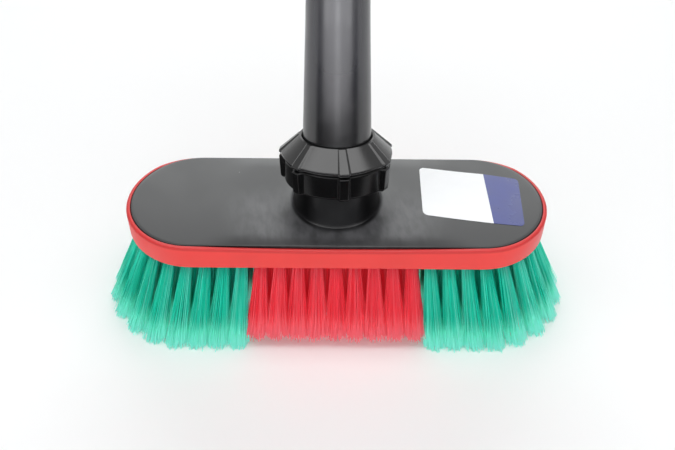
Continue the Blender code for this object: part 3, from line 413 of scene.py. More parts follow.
@dataclass(frozen=True)
class GlossPlastic(Finish):
    """Moulded plastic with a stronger or weaker surface gloss.

    Attributes:
        gloss: the specular level.
    """

    gloss: float = 0.5

    def adjust(self, graph: Graph, shader: Node) -> None:
        """Sets the specular level."""
        shader.inputs["Specular IOR Level"].default_value = self.gloss


@dataclass(frozen=True)
class GradedPlastic(GlossPlastic):
    """Gloss plastic with painted light: it gets a little paler with height, darker low down near the nut.

    Attributes:
        pale: colour at the top.
        low: height at which it begins.
        high: height at which it is full.
    """

    pale: Colour = (0.02, 0.02, 0.02)
    low: float = 0.0
    high: float = 1.0

    def tint(self, graph: Graph, place: Socket, colour: Socket) -> Socket:
        """Blends to the paler colour by height, as painted light."""
        return graph.blend(graph.remap(graph.axes(place)["Z"], self.low, self.high), colour, colour4(self.pale))


@dataclass(frozen=True)
class ShadedPlastic(GlossPlastic):
    """Gloss plastic with painted shade, near black where the nut keeps the light off it, and a ring of painted sheen
    before the neck.

    Attributes:
        foot: a point on the handle's axis, at the rim's level.
        axis: unit vector up the handle.
        reach: distance from the axis up to which it is shaded.
        level: height along the axis up to which it is shaded.
        depth: strength of the shading.
        window: half width in front that stays lit, or 0.
        window_fade: how far its edge fades inwards and outwards.
        painted_sheen: strength of a paler ring of painted sheen on the level face before the neck, or 0.
        scuff_and_sheen_colour: the colour of that painted sheen.
        ring_in: distances from the axis over which the ring sets in.
        ring_out: distances over which it fades.
        ring_back: places along Y, from the foot, over which it ends at the back.
        ring_front: places over which it thins out to ring_rest in front.
        ring_rest: what is left of it there.
    """

    foot: Place = (0.0, 0.0, 0.0)
    axis: Place = (0.0, 0.0, 1.0)
    reach: float = 1.0
    level: float = 1.0
    depth: float = 0.8
    window: float = 0.0
    window_fade: Plan = (0.005, 0.003)
    painted_sheen: float = 0.0
    scuff_and_sheen_colour: Colour = (0.10, 0.10, 0.105)
    ring_in: Plan = (0.0245, 0.028)
    ring_out: Plan = (0.040, 0.070)
    ring_back: Plan = (-0.012, 0.016)
    ring_front: Plan = (-0.036, -0.029)
    ring_rest: float = 0.25

    def _near(self, graph: Graph, place: Feed) -> tuple[Socket, Socket]:
        """Distance from the axis, and height along it.

        Args:
            graph: the material's graph.
            place: Object coordinates.

        Returns:
            Both sockets.
        """
        offset = graph.vector("SUBTRACT", place, self.foot)
        along = graph.measure("DOT_PRODUCT", offset, self.axis)
        beside = graph.vector("SUBTRACT", offset, graph.vector("SCALE", self.axis, scale=along))
        return graph.measure("LENGTH", beside), along

    def tint(self, graph: Graph, place: Socket, colour: Socket) -> Socket:
        """Blends in the ring of painted sheen before the neck.

        Args:
            graph: the material's graph.
            place: Object coordinates.
            colour: the colour so far.

        Returns:
            The colour to use.
        """
        if not self.painted_sheen:
            return colour
        reach, depth, foot = self._near(graph, place)[0], graph.axes(place)["Y"], self.foot[1]
        patches = graph.noise(graph.stretched(place, (0.4, 1.0, 1.0), 0.15), 90.0, 2.0)
        # Painted sheen: a paler ring on the level face before the neck, where the top catches the light
        ring = graph.times(
            graph.remap(reach, *self.ring_in),
            graph.remap(reach, *self.ring_out, 1.0, 0.0),
            graph.remap(depth, *(foot + y for y in self.ring_back), 1.0, 0.0),
            graph.remap(depth, *(foot + y for y in self.ring_front), self.ring_rest, 1.0),
            graph.remap(patches, 0.25, 0.7, 0.45, 1.0),
            self.painted_sheen,
        )
        return graph.blend(ring, colour, colour4(self.scuff_and_sheen_colour))

    def adjust(self, graph: Graph, shader: Node) -> None:
        """Sets the specular level, and takes the reflection out of the shaded part.

        Args:
            graph: the material's graph.
            shader: its Principled shader.
        """
        super().adjust(graph, shader)
        place = graph.here()
        # Painted shade: the reflection is taken out near the axis and below the given level
        reach, along = self._near(graph, place)
        near = graph.remap(reach, self.reach - 0.0008, self.reach + 0.0008, self.depth, 0.0)
        low = graph.remap(along, self.level - 0.0004, self.level + 0.0004, 1.0, 0.0)
        if self.window:
            across = graph.math("ABSOLUTE", graph.axes(place)["X"])
            inwards, outwards = self.window_fade
            low = graph.times(low, graph.remap(across, self.window - inwards, self.window + outwards))
        graph.feed(shader.inputs["Metallic"], graph.times(near, low))


@dataclass(frozen=True)
class Rubber(Finish):
    """Smooth coloured rubber with painted light on its rounded lip, which blends to a colour of its own there; where
    it is used, a darker one, as painted shade.

    Attributes:
        painted_lip_colour: the colour that the painted light gives near the lip.
        lip_low: height at which the lip begins at the round ends.
        lip_high: height at which it is full there.
        dip: how much lower it lies at the middle of the long sides.
        side_half: half the length of those sides.
    """

    painted_lip_colour: Colour = (0.9, 0.03, 0.02)
    lip_low: float = 0.0
    lip_high: float = 1.0
    dip: float = 0.0
    side_half: float = 1.0

    def tint(self, graph: Graph, place: Socket, colour: Socket) -> Socket:
        """Blends to the painted lip colour by height, along the dipping lip.

        Args:
            graph: the material's graph.
            place: Object coordinates.
            colour: the colour so far.

        Returns:
            The colour to use.
        """
        parts = graph.axes(place)
        bend = graph.math("POWER", graph.math("DIVIDE", parts["X"], self.side_half), 2.0)
        dip = graph.times(graph.math("SUBTRACT", 1.0, bend, clamp=True), self.dip)
        lip = graph.remap(graph.math("ADD", parts["Z"], dip), self.lip_low, self.lip_high)
        return graph.blend(lip, colour, colour4(self.painted_lip_colour))


@dataclass(frozen=True)
class Filament:
    """A bristle's finish, read from the attributes that its tufts carry.

    Attributes:
        name: the material's name.
        root: colour at the root, deeper than the middle as painted shade.
        middle: colour of the free length.
        tip: colour of the split tip.
        body_glow: share of its colour that the free length gives off as a painted glow, standing in for the light
            that the translucent filament scatters.
        tip_glow: the same at the tip.
        roughness: the filament's roughness.
    """

    name: str
    root: Colour
    middle: Colour
    tip: Colour
    body_glow: float
    tip_glow: float
    roughness: float = 0.42

    def build(self, effects: Effects) -> Material:
        """Builds the material.

        Args:
            effects: the shared node groups.

        Returns:
            The new material.
        """
        material, graph, shader = principled(self.name)
        along = graph.add("ShaderNodeAttribute", attribute_name="along").outputs["Fac"]
        tone = graph.add("ShaderNodeAttribute", attribute_name="tone").outputs["Fac"]
        feeds = {"Along": along, "Tone": tone, "Body Glow": self.body_glow, "Tip Glow": self.tip_glow}
        feeds |= {"Root": colour4(self.root), "Middle": colour4(self.middle), "Tip": colour4(self.tip)}
        toned = graph.group(effects.filament, feeds)
        feeds = {
            "Base Color": toned["Colour"],
            "Emission Color": toned["Glow"],
            "Emission Strength": 1.0,
            "Roughness": graph.remap(tone, 0.0, 1.0, self.roughness - 0.08, self.roughness + 0.12),
            "Specular IOR Level": 0.35,
            "Subsurface Weight": 0.35,
            "Subsurface Radius": (1.0, 1.0, 1.0),
            "Subsurface Scale": 0.0006,
        }
        graph.wire(shader, feeds)
        return material


def linked(name: str, data: bpy.types.ID) -> Piece:
    """Puts a new object with its data in the scene.

    Args:
        name: the object's name.
        data: what it shows.

    Returns:
        The new object.
    """
    obj = bpy.data.objects.new(name, data)
    bpy.context.scene.collection.objects.link(obj)
    return obj


def evaluated_mesh(obj: Piece) -> bpy.types.Mesh:
    """A plain mesh of an object as its modifiers leave it."""
    return bpy.data.meshes.new_from_object(obj.evaluated_get(bpy.context.evaluated_depsgraph_get()))


class Shell:
    """A mesh built ring by ring and made into one smooth-shaded object."""

    def __init__(self) -> None:
        """Starts an empty mesh."""
        self.bm = bmesh.new()

    def ring(self, points: Sequence[Sequence[float]]) -> Ring:
        """Adds a ring of vertices."""
        return [self.bm.verts.new(point) for point in points]

    def wall(self, lower: Ring, upper: Ring) -> None:
        """Joins two rings of the same count with quads.

        Args:
            lower: one ring.
            upper: the next ring.
        """
        for i in range(len(lower)):
            j = (i + 1) % len(lower)
            self.bm.faces.new((lower[i], lower[j], upper[j], upper[i]))

    def skin(self, rings: Sequence[Ring], closed: bool = False) -> None:
        """Joins a series of rings, and the last to the first where closed.

        Args:
            rings: the rings in order.
            closed: whether the last joins the first.
        """
        for lower, upper in zip(rings, rings[1:]):
            self.wall(lower, upper)
        if closed:
            self.wall(rings[-1], rings[0])

    def cap(self, *rings: Ring) -> None:
        """Fills the flat area inside the first ring and outside the others.

        Args:
            rings: the outer border, then its holes.
        """
        edges = []
        for ring in rings:
            for i, vertex in enumerate(ring):
                ends = (vertex, ring[(i + 1) % len(ring)])
                edges.append(self.bm.edges.get(ends) or self.bm.edges.new(ends))
        bmesh.ops.triangle_fill(self.bm, use_beauty=True, edges=edges)

    def piece(self, name: str, material: Material) -> Piece:
        """Makes the object, with its faces outwards.

        Args:
            name: the object's name.
            material: its finish.

        Returns:
            The new object at the origin.
        """
        bmesh.ops.recalc_face_normals(self.bm, faces=self.bm.faces)
        mesh = bpy.data.meshes.new(name)
        self.bm.to_mesh(mesh)
        self.bm.free()
        mesh.shade_smooth()
        mesh.set_sharp_from_angle(angle=SHARP)
        mesh.materials.append(material)
        return linked(name, mesh)


def attach(piece: Piece, body: Body, slot: str, *nodes: str) -> None:
    """Rides a finished piece on its body, in place of the CAD nodes that it stands for.

    Args:
        piece: the finished object.
        body: the body that carries it.
        slot: the record's material slot; not used.
        nodes: the CAD nodes that it replaces.
    """
    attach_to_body(piece, body.value)
    if nodes:
        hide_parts(*nodes)
    log.info("%s rides on %s and has %d faces", piece.name, body.value, len(piece.data.polygons))


def arc(centre: Plan, radius: float, start: float, end: float, steps: int) -> list[Plan]:
    """Points of an arc in a profile's plane, from one angle in degrees to another."""
    angles = [math.radians(start + (end - start) * i / steps) for i in range(steps + 1)]
    return [(centre[0] + radius * math.cos(angle), centre[1] + radius * math.sin(angle)) for angle in angles]


def sized(radius: Radius, angle: float, level: float) -> float:
    """A radius at an angle round the axis and a level along it, from a number or the rule for it."""
    return radius(angle, level) if callable(radius) else radius


def circle(radius: Radius, height: float, centre: Plan = (0.0, 0.0), steps: int = 32) -> list[tuple]:
    """Points of a level circle, or of a ring whose radius follows a rule.

    Args:
        radius: its radius or the rule for it.
        height: its level.
        centre: its centre in plan.
        steps: number of points.

    Returns:
        The points.
    """
    points = []
    for i in range(steps):
        angle = math.tau * i / steps
        size = sized(radius, angle, height)
        points.append((centre[0] + size * math.cos(angle), centre[1] + size * math.sin(angle), height))
    return points


def applied(carrier: Piece, tree: Tree, values: dict[str, Feed], name: str) -> Piece:
    """Runs a Geometry Nodes tree on a carrier and keeps the result as a plain mesh.

    Args:
        carrier: the object whose mesh the tree starts from; it is removed.
        tree: the Geometry Nodes tree.
        values: its inputs by name.
        name: the new object's name.

    Returns:
        The new object at the origin.
    """
    modifier = carrier.modifiers.new(tree.name, "NODES")
    modifier.node_group = tree
    for item in tree.interface.items_tree:
        if item.item_type == "SOCKET" and item.in_out == "INPUT" and item.name in values:
            modifier[item.identifier] = values[item.name]
    mesh = evaluated_mesh(carrier)
    mesh.name = name
    carrier.modifiers.remove(modifier)
    bpy.data.objects.remove(carrier, do_unlink=True)
    return linked(name, mesh)


@dataclass
class HeadPlan:
    """The head's outline and levels, as in the CAD model.

    Attributes:
        length: over the rubber edge.
        width: over the rubber edge.
        wall: thickness of the rubber edge.
        gap: air between two pieces that touch.
        rubber_bottom: the rubber edge's and the backing's lower level.
        backing_top: upper level of the backing.
        cover_bottom: lower level of the cover.
        rim: level of the cover's rim.
        rubber_top: upper level of the rubber edge.
        dip: how much lower the rubber's top lies at the middle of the long sides.
        back_run: how far past the straight sides the dip runs at the back.
        back_power: evenness of the dip there.
        back_dip: its depth there, as a share of the front's.
        end_steps: facets of a round end.
        side_steps: facets of a long side.
        middle: the head's middle along Y.
    """

    length: float = 0.240
    width: float = 0.080
    wall: float = 0.0023
    gap: float = 0.0003
    rubber_bottom: float = 0.060
    backing_top: float = 0.063
    cover_bottom: float = 0.0712
    rim: float = 0.0752
    rubber_top: float = 0.0750
    dip: float = 0.0014
    back_run: float = 0.026
    back_power: int = 8
    back_dip: float = 1.15
    end_steps: int = 48
    side_steps: int = 24
    middle: float = field(init=False)

    def __post_init__(self) -> None:
        """Takes the head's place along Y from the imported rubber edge."""
        low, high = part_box("rubber_edge")
        self.middle = (low.y + high.y) / 2

    @property
    def end_radius(self) -> float:
        """Radius of the outline's round ends."""
        return self.width / 2

    @property
    def side_half(self) -> float:
        """Half the straight run of the outline."""
        return self.length / 2 - self.end_radius

    @property
    def core_radius(self) -> float:
        """End radius of what the rubber edge holds."""
        return self.end_radius - self.wall - self.gap

    @property
    def columns(self) -> int:
        """Points of one outline."""
        return 2 * (self.end_steps + 1) + 2 * (self.side_steps - 1)

    def outline(self, radius: float) -> list[Plan]:
        """The obround outline in plan, from the right end round.

        Args:
            radius: its end radius.

        Returns:
            The points, centred on the head.
        """
        points = []
        for side in (1, -1):
            for i in range(self.end_steps + 1):
                angle = math.pi * (i / self.end_steps - 0.5)
                points.append((side * (self.side_half + radius * math.cos(angle)), side * radius * math.sin(angle)))
            for i in range(1, self.side_steps):
                x = self.side_half * (1 - 2 * i / self.side_steps)
                points.append((side * x, side * radius))
        return points

    def placed(self, points: Sequence[Plan], height: float, dip: float = 0.0) -> list[tuple]:
        """Plan points at the head's place, at a level that dips along the long sides.

        Args:
            points: the points in plan.
            height: their level.
            dip: how far it dips at the middle of the front.

        Returns:
            The points.
        """
        placed = []
        for x, y in points:
            reach, power, depth = self.side_half, 2, 1.0
            if y > 0:
                reach, power, depth = reach + self.back_run, self.back_power, self.back_dip
            share = max(0.0, 1 - abs(x / reach) ** power)
            placed.append((x, y + self.middle, height - dip * share * depth))
        return placed


@dataclass
class Lean:
    """The handle's axis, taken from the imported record.

    Attributes:
        origin: where the axis meets the cover's rim level.
        direction: unit vector up the handle.
        tilt: its angle from upright.
    """

    origin: Vector = field(init=False)
    direction: Vector = field(init=False)
    tilt: float = field(init=False)

    def __post_init__(self) -> None:
        """Reads the swivel joint."""
        joint = next(entry for entry in frame["joints"] if entry["name"] == "handle_swivel")
        self.origin = Vector(joint["pos_m"])
        self.direction = Vector(joint["axis"]).normalized()
        self.tilt = math.atan2(self.direction.y, self.direction.z)

    def point(self, radius: float, angle: float, along: float, tilt: float | None = None) -> Vector:
        """A point beside the axis.

        Args:
            radius: distance from the axis.
            angle: angle round it.
            along: distance up the axis.
            tilt: lean of the circle that the point is on, or None for square to the axis.

        Returns:
            The point.
        """
        lean = self.tilt if tilt is None else tilt
        offset = Vector((radius * math.cos(angle), radius * math.sin(angle), 0))
        return self.origin + self.direction * along + Matrix.Rotation(-lean, 3, "X") @ offset

    def ring(self, radius: Radius, along: float, steps: int = 96) -> list[Vector]:
        """A ring square to the axis."""
        angles = [math.tau * i / steps for i in range(steps)]
        return [self.point(sized(radius, angle, along), angle, along) for angle in angles]

    def turned(self, profile: Sequence[Plan]) -> Shell:
        """The shell of a closed profile of (radius, along) turned round the axis.

        Args:
            profile: the profile's points.

        Returns:
            The shell.
        """
        shell = Shell()
        shell.skin([shell.ring(self.ring(radius, along)) for radius, along in profile], closed=True)
        return shell


def thread_swell(angle: float, along: float, start: float, end: float, pitch: float, runout: float) -> float:
    """How far a rounded right-hand thread stands up, from 0 to 1, fading at both ends."""
    wave = 0.5 + 0.5 * math.cos(math.tau * along / pitch - angle)
    return wave * min(max(min(along - start, end - along) / runout, 0.0), 1.0)


@dataclass
class Cover:
    """The black top cover with its leaning, threaded neck.

    Attributes:
        plan: the head's outline and levels.
        lean: the axis of the neck, the nut and the handle.
        crown: rise of the top from the rim to the neck, half of it along the long sides.
        shoulder: width of the slope along the long sides.
        plateau: half length of that slope, before it fades out.
        fade: length over which it fades out.
        swell: radius at which the top begins to rise to the neck.
        chamfer: of the rim.
        neck_radius: plain neck, and the thread's root.
        flare: how much wider the neck's foot is.
        flare_top: end of the flare along the axis.
        neck_top: along the axis.
        thread_start: along the axis.
        thread_depth: height of the thread.
        pitch: of the thread.
        runout: of the thread.
        socket_radius: bore that takes the handle's spigot.
        socket_floor: along the axis.
        passage_radius: water passage below the socket.
        edge: chamfer of the neck's top.
    """

    plan: HeadPlan
    lean: Lean
    crown: float = 0.0012
    shoulder: float = 0.009
    plateau: float = 0.045
    fade: float = 0.030
    swell: float = 0.038
    chamfer: float = 0.0005
    neck_radius: float = 0.0229
    flare: float = 0.0022
    flare_top: float = 0.013854
    neck_top: float = 0.027454
    thread_start: float = 0.015854
    thread_depth: float = 0.0013
    pitch: float = 0.004
    runout: float = 0.0014
    socket_radius: float = 0.0172
    socket_floor: float = 0.014254
    passage_radius: float = 0.009
    edge: float = 0.0006

    def neck_ring(self, radius: Radius, along: float, tilt: float | None = None) -> list[Vector]:
        """One ring of the neck, with a point for each column of the outline.

        Args:
            radius: its radius or the rule for it.
            along: its place along the axis.
            tilt: lean of the ring, or None for square to the axis.

        Returns:
            The points.
        """
        columns = self.plan.columns
        angles = [math.tau * (i - self.plan.end_steps / 2) / columns for i in range(columns)]
        return [self.lean.point(sized(radius, angle, along), angle, along, tilt) for angle in angles]

    def thread_radius(self, angle: float, along: float) -> float:
        """Radius of the neck's thread."""
        span = (self.thread_start, self.neck_top - self.edge)
        return self.neck_radius + self.thread_depth * thread_swell(angle, along, *span, self.pitch, self.runout)

    def crown_ring(self, share: float) -> list[Vector]:
        """A ring of the top, from the rim at share 0 to the neck's foot at share 1.

        Args:
            share: how far in the ring lies.

        Returns:
            Its points.
        """
        plan = self.plan
        rim = plan.placed(plan.outline(plan.core_radius - self.chamfer), plan.rim)
        foot = self.neck_ring(self.neck_radius + self.flare, self.crown / math.cos(self.lean.tilt), tilt=0.0)
        points = []
        for outer, inner in zip(rim, foot):
            spot = Vector(outer).lerp(Vector((inner.x, inner.y, plan.rim)), share)
            spot.z += self.rise(spot)
            points.append(spot)
        return points

    def rise(self, spot: Vector) -> float:
        """How far the top stands above its rim at a place.

        Args:
            spot: the place, of which only the plan counts.

        Returns:
            The rise.
        """
        inset = self.plan.core_radius - self.chamfer - abs(spot.y - self.plan.middle)
        inset = min(max(inset / self.shoulder, 0.0), 1.0)
        fade = min(max((self.plateau + self.fade - abs(spot.x)) / self.fade, 0.0), 1.0)
        side = (1 - (1 - inset) ** 2) * fade * fade * (3 - 2 * fade)
        foot = self.neck_radius + self.flare
        reach = math.hypot(spot.x, spot.y - self.plan.middle - self.crown * math.tan(self.lean.tilt))
        near = min(max((self.swell - reach) / (self.swell - foot), 0.0), 1.0)
        return self.crown / 2 * (side + near**2.2)

    def build(self, material: Material) -> Piece:
        """Builds the cover in place of its CAD node.

        Args:
            material: the cover's finish.

        Returns:
            The piece.
        """
        plan, shell = self.plan, Shell()
        low = plan.outline(plan.core_radius)
        rings = [shell.ring(plan.placed(low, height)) for height in (plan.cover_bottom, plan.rim - self.chamfer)]
        for turn in (30, 60):
            inset = self.chamfer * (1 - math.cos(math.radians(turn)))
            rise = self.chamfer * math.sin(math.radians(turn))
            outline = plan.outline(plan.core_radius - inset)
            rings.append(shell.ring(plan.placed(outline, plan.rim - self.chamfer + rise)))
        for i in range(19):
            rings.append(shell.ring(self.crown_ring((i / 18) ** 1.3)))
        foot = self.crown / math.cos(self.lean.tilt)
        for i in range(1, 15):
            turn = math.pi / 2 * i / 14
            rise = 1 - math.cos(turn)
            radius = self.neck_radius + self.flare * (1 - math.sin(turn))
            along = foot + (self.flare_top - foot) * rise
            rings.append(shell.ring(self.neck_ring(radius, along, self.lean.tilt * rise)))
        run, rows = self.neck_top - self.edge - self.thread_start, 36
        for row in range(rows + 1):
            rings.append(shell.ring(self.neck_ring(self.thread_radius, self.thread_start + run * row / rows)))
        for radius, along in (
            (self.neck_radius - self.edge / 3, self.neck_top - self.edge / 3),
            (self.neck_radius - self.edge, self.neck_top),
            (self.socket_radius + self.edge, self.neck_top),
            (self.socket_radius, self.neck_top - self.edge),
            (self.socket_radius, self.socket_floor),
            (self.passage_radius, self.socket_floor),
        ):
            rings.append(shell.ring(self.neck_ring(radius, along)))
        mouth = (plan.cover_bottom - plan.rim) / math.cos(self.lean.tilt)
        rings.append(shell.ring(self.neck_ring(self.passage_radius, mouth, tilt=0.0)))
        shell.skin(rings)
        shell.cap(rings[0], rings[-1])
        piece = shell.piece("moulded_cover", material)
        attach(piece, Body.HEAD, "black_plastic", "top_cover")
        return piece


@dataclass
class RubberEdge:
    """The red rubber edge with its rounded lip and the tongue that keys into the block.

    Attributes:
        plan: the head's outline and levels.
        rounding: of the lip.
        foot: rounding of the lower edge.
        lip: rounding of the lip's inner edge.
        tongue_depth: reach of the tongue into the block.
        tongue_low: lower level of the tongue.
        tongue_high: its upper level.
    """

    plan: HeadPlan
    rounding: float = 0.0016
    foot: float = 0.0012
    lip: float = 0.0002
    tongue_depth: float = 0.0013
    tongue_low: float = 0.06525
    tongue_high: float = 0.06765

    def build(self, material: Material) -> None:
        """Builds the edge in place of its CAD node.

        Args:
            material: the rubber.
        """
        plan = self.plan
        outer, top, bottom = plan.end_radius, plan.rubber_top, plan.rubber_bottom
        inner = outer - plan.wall
        section: list[Place] = [(inner, bottom, 0.0)]
        section += [(r, z, 0.0) for r, z in arc((outer - self.foot, bottom + self.foot), self.foot, -90, 0, 5)]
        lip = arc((outer - self.rounding, top - self.rounding), self.rounding, 0, 90, 9)
        lip += arc((inner + self.lip, top - self.lip), self.lip, 90, 180, 3)
        section += [(r, z, plan.dip) for r, z in lip]
        section += [
            (inner, self.tongue_high, 0.0),
            (inner - self.tongue_depth, self.tongue_high, 0.0),
            (inner - self.tongue_depth, self.tongue_low, 0.0),
            (inner, self.tongue_low, 0.0),
        ]
        shell = Shell()
        rings = [shell.ring(plan.placed(plan.outline(radius), height, dip)) for radius, height, dip in section]
        shell.skin(rings, closed=True)
        attach(shell.piece("rubber_bumper", material), Body.HEAD, "red_rubber", "rubber_edge")


@dataclass
class Bristles:
    """The three bristle fields: backing, tufts of fine filaments and the cover's screws between them.

    Attributes:
        plan: the head's outline and levels.
        length: of the green bristles, straight down.
        red_trim: how much shorter the red ones are.
        split: where the middle field ends, along X.
        spacing: between tufts along a row.
        row_inset: outer row, from the head's edge.
        inner_row: inner row, from the middle line.
        rows: rows on each side.
        lean_length: outward lean along X, as a share of the root's X.
        lean_end: extra lean at the ends.
        lean_width: outward lean along Y, as a share of the root's Y.
        root_spread: radius of a tuft at the backing.
        tip_spread: radius of a tuft at its tips.
        turn_step: turn from one tuft's spiral to the next, in radians.
        stray_x: where along X the strays are, in the front row.
        fine_root: radius of the outer row's filaments at the root.
        fine_tip: the same at the tip.
        coarse_root: radius of the inner rows' filaments at the root.
        coarse_tip: the same at the tip.
        outer_count: filaments in a tuft of the outer row.
        inner_count: filaments in a tuft of the inner rows.
        screw_x: spacing of the cover screws along X.
        pocket: radius of a screw's pocket.
        outlet: radius of a water outlet.
        end_margin: from the last outlets' field to the head's ends.
        tuft_reach: radius that a tuft keeps clear of holes.
    """

    plan: HeadPlan
    length: float = 0.060
    red_trim: float = 0.007
    split: float = 0.047
    spacing: float = 0.0103
    row_inset: float = 0.009
    inner_row: float = 0.006
    rows: int = 3
    lean_length: float = 0.12
    lean_end: float = 0.10
    lean_width: float = 0.42
    root_spread: float = 0.0026
    tip_spread: float = 0.0064
    turn_step: float = 1.7
    stray_x: float = 0.096
    fine_root: float = 0.00027
    fine_tip: float = 0.00022
    coarse_root: float = 0.00036
    coarse_tip: float = 0.00030
    outer_count: int = 330
    inner_count: int = 170
    screw_x: float = 0.072
    pocket: float = 0.0031
    outlet: float = 0.0018
    end_margin: float = 0.022
    tuft_reach: float = 0.00285

    @property
    def row_pitch(self) -> float:
        """Distance between two rows."""
        return (self.plan.end_radius - self.row_inset - self.inner_row) / (self.rows - 1)

    def screw_places(self) -> list[Plan]:
        """The six cover screws in plan."""
        y = self.plan.end_radius - self.row_inset - self.row_pitch / 2
        return [(i * self.screw_x, j * y) for i in (-1, 0, 1) for j in (-1, 1)]

    def outlet_places(self) -> list[Plan]:
        """The water outlets along the middle line, in plan.

        Returns:
            The places.
        """
        pitch = self.split / 2
        xs = [pitch * (i + 0.5) - self.split for i in range(4)]
        end_pitch = (self.plan.length / 2 - self.end_margin - self.split) / 2
        for i in range(2):
            x = self.split + end_pitch * (i + 0.5)
            xs += [-x, x]
        return [(x, 0.0) for x in xs]

    def holes(self) -> list[tuple[Plan, float]]:
        """Place and radius of every screw pocket and outlet."""
        pockets = [(place, self.pocket) for place in self.screw_places()]
        return pockets + [(place, self.outlet) for place in self.outlet_places()]

    def is_free(self, place: Plan) -> bool:
        """Whether a tuft stays off the screws and outlets."""
        return all(math.dist(place, hole) > self.tuft_reach + radius for hole, radius in self.holes())

    def row(self, number: int) -> dict[Field, list[Plan]]:
        """The tufts of one row that follows the outline.

        Args:
            number: 0 for the outer row.

        Returns:
            Their places in plan, by field.
        """
        radius = self.plan.end_radius - self.row_inset - number * self.row_pitch
        first = 1 if number % 2 else 0.5
        pitches = max(2, round(2 * self.split / self.spacing))
        middle = []
        for i in range(pitches - number % 2):
            x = self.split * (2 * (i + first) / pitches - 1)
            middle += [(x, -radius), (x, radius)]
        straight = self.plan.side_half - self.split
        run = 2 * straight + math.pi * radius
        pitches = max(2, round(run / self.spacing))
        right = []
        for i in range(pitches - number % 2):
            along = run * (i + first) / pitches
            if along < straight:
                right.append((self.split + along, -radius))
            elif along > run - straight:
                right.append((self.split + run - along, radius))
            else:
                angle = (along - straight) / radius - math.pi / 2
                x = self.plan.side_half + radius * math.cos(angle)
                right.append((x, radius * math.sin(angle)))
        places = {Field.RED_MIDDLE: middle, Field.GREEN_RIGHT: right, Field.GREEN_LEFT: [(-x, y) for x, y in right]}
        return {name: [place for place in found if self.is_free(place)] for name, found in places.items()}

    def lean(self, place: Plan) -> Vector:
        """How far a full-length tuft's tips lie outside its root, in plan.

        Args:
            place: the tuft's place in plan.

        Returns:
            The offset.
        """
        reach = self.plan.side_half + self.plan.end_radius - self.row_inset
        along = self.lean_length + self.lean_end * (place[0] / reach) ** 4
        return Vector((place[0] * along, place[1] * self.lean_width, 0.0))

    def tuft_tree(self) -> Tree:
        """The Geometry Nodes tree that turns each point into a tuft of filaments.

        Returns:
            The tree.
        """
        position = "GeometryNodeInputPosition"
        sizes = ("Root Spread", "Tip Spread", "Root Size", "Tip Size", "Drop", "Trim", "Sway", "Fray")
        inputs = {"Filaments": "Int", **dict.fromkeys(sizes, "Float"), "Seed": "Int", "Finish": "Material"}
        graph = Graph.start("tuft_filaments", inputs)
        points = graph.add("GeometryNodeMeshToPoints", {"Mesh": graph.given["Geometry"]}).outputs[0]
        feeds = {"Geometry": points, "Amount": graph.given["Filaments"]}
        copies = graph.add("GeometryNodeDuplicateElements", feeds, domain="POINT").outputs
        number = graph.math("ADD", copies["Duplicate Index"], 0.5)
        share = graph.math("SQRT", graph.math("DIVIDE", number, graph.given["Filaments"]))
        angle = graph.math("ADD", graph.times(number, GOLDEN_ANGLE), self._stored(graph, "turn", "FLOAT"))
        x, y = (graph.times(graph.math(name, angle), share) for name in ("COSINE", "SINE"))
        spoke = graph.add("ShaderNodeCombineXYZ", {0: x, 1: y}).outputs[0]
        vectors = {
            "root": graph.add(position).outputs[0],
            "spoke": graph.vector("ADD", spoke, self._random(graph, 1, 0.09)),
            "sway": self._random(graph, 2, 1),
            "fray": self._random(graph, 3, 1),
        }
        flow = copies["Geometry"]
        for label, value in vectors.items():
            flow = self._store(graph, flow, label, value)
        flow = self._store(graph, flow, "tone", self._chance(graph, 4), "FLOAT")
        flow = self._store(graph, flow, "trim", graph.math("POWER", self._chance(graph, 5), 2.5), "FLOAT")
        feeds = {"Vertices": 3, "Side Segments": 4, "Radius": 1.0, "Depth": 1.0}
        hair = graph.add("GeometryNodeMeshCylinder", feeds, fill_type="NGON").outputs[0]
        hair = graph.add("GeometryNodeTransform", {"Geometry": hair, "Translation": (0, 0, 0.5)}).outputs[0]
        hair = self._store(graph, hair, "local", graph.add(position).outputs[0])
        placed = graph.add("GeometryNodeInstanceOnPoints", {"Points": flow, "Instance": hair}).outputs[0]
        real = graph.add("GeometryNodeRealizeInstances", {"Geometry": placed}).outputs[0]
        flow = graph.add("GeometryNodeSetShadeSmooth", {"Geometry": self._bend(graph, real)}).outputs[0]
        for label in ("root", "spoke", "sway", "fray", "trim", "local", "turn", "lean"):
            flow = graph.add("GeometryNodeRemoveAttribute", {"Geometry": flow, "Name": label}).outputs[0]
        return graph.finished(flow)

    @staticmethod
    def _random(graph: Graph, salt: int, reach: float) -> Socket:
        """A random level vector for each element."""
        feeds = {0: (-reach, -reach, 0), 1: (reach, reach, 0), "Seed": graph.math("ADD", graph.given["Seed"], salt)}
        return graph.add("FunctionNodeRandomValue", feeds, data_type="FLOAT_VECTOR").outputs[0]

    @staticmethod
    def _chance(graph: Graph, salt: int) -> Socket:
        """A random number from 0 to 1 for each element."""
        feeds = {2: 0.0, 3: 1.0, "Seed": graph.math("ADD", graph.given["Seed"], salt)}
        return graph.add("FunctionNodeRandomValue", feeds, data_type="FLOAT").outputs[1]

    @staticmethod
    def _store(graph: Graph, flow: Feed, label: str, value: Feed, kind: str = "FLOAT_VECTOR") -> Socket:
        """Stores a named attribute on points."""
        feeds = {"Geometry": flow, "Name": label, "Value": value}
        return graph.add("GeometryNodeStoreNamedAttribute", feeds, data_type=kind, domain="POINT").outputs[0]

    @staticmethod
    def _stored(graph: Graph, label: str, kind: str = "FLOAT_VECTOR") -> Socket:
        """Reads a named attribute."""
        return graph.add("GeometryNodeInputNamedAttribute", {"Name": label}, data_type=kind).outputs[0]

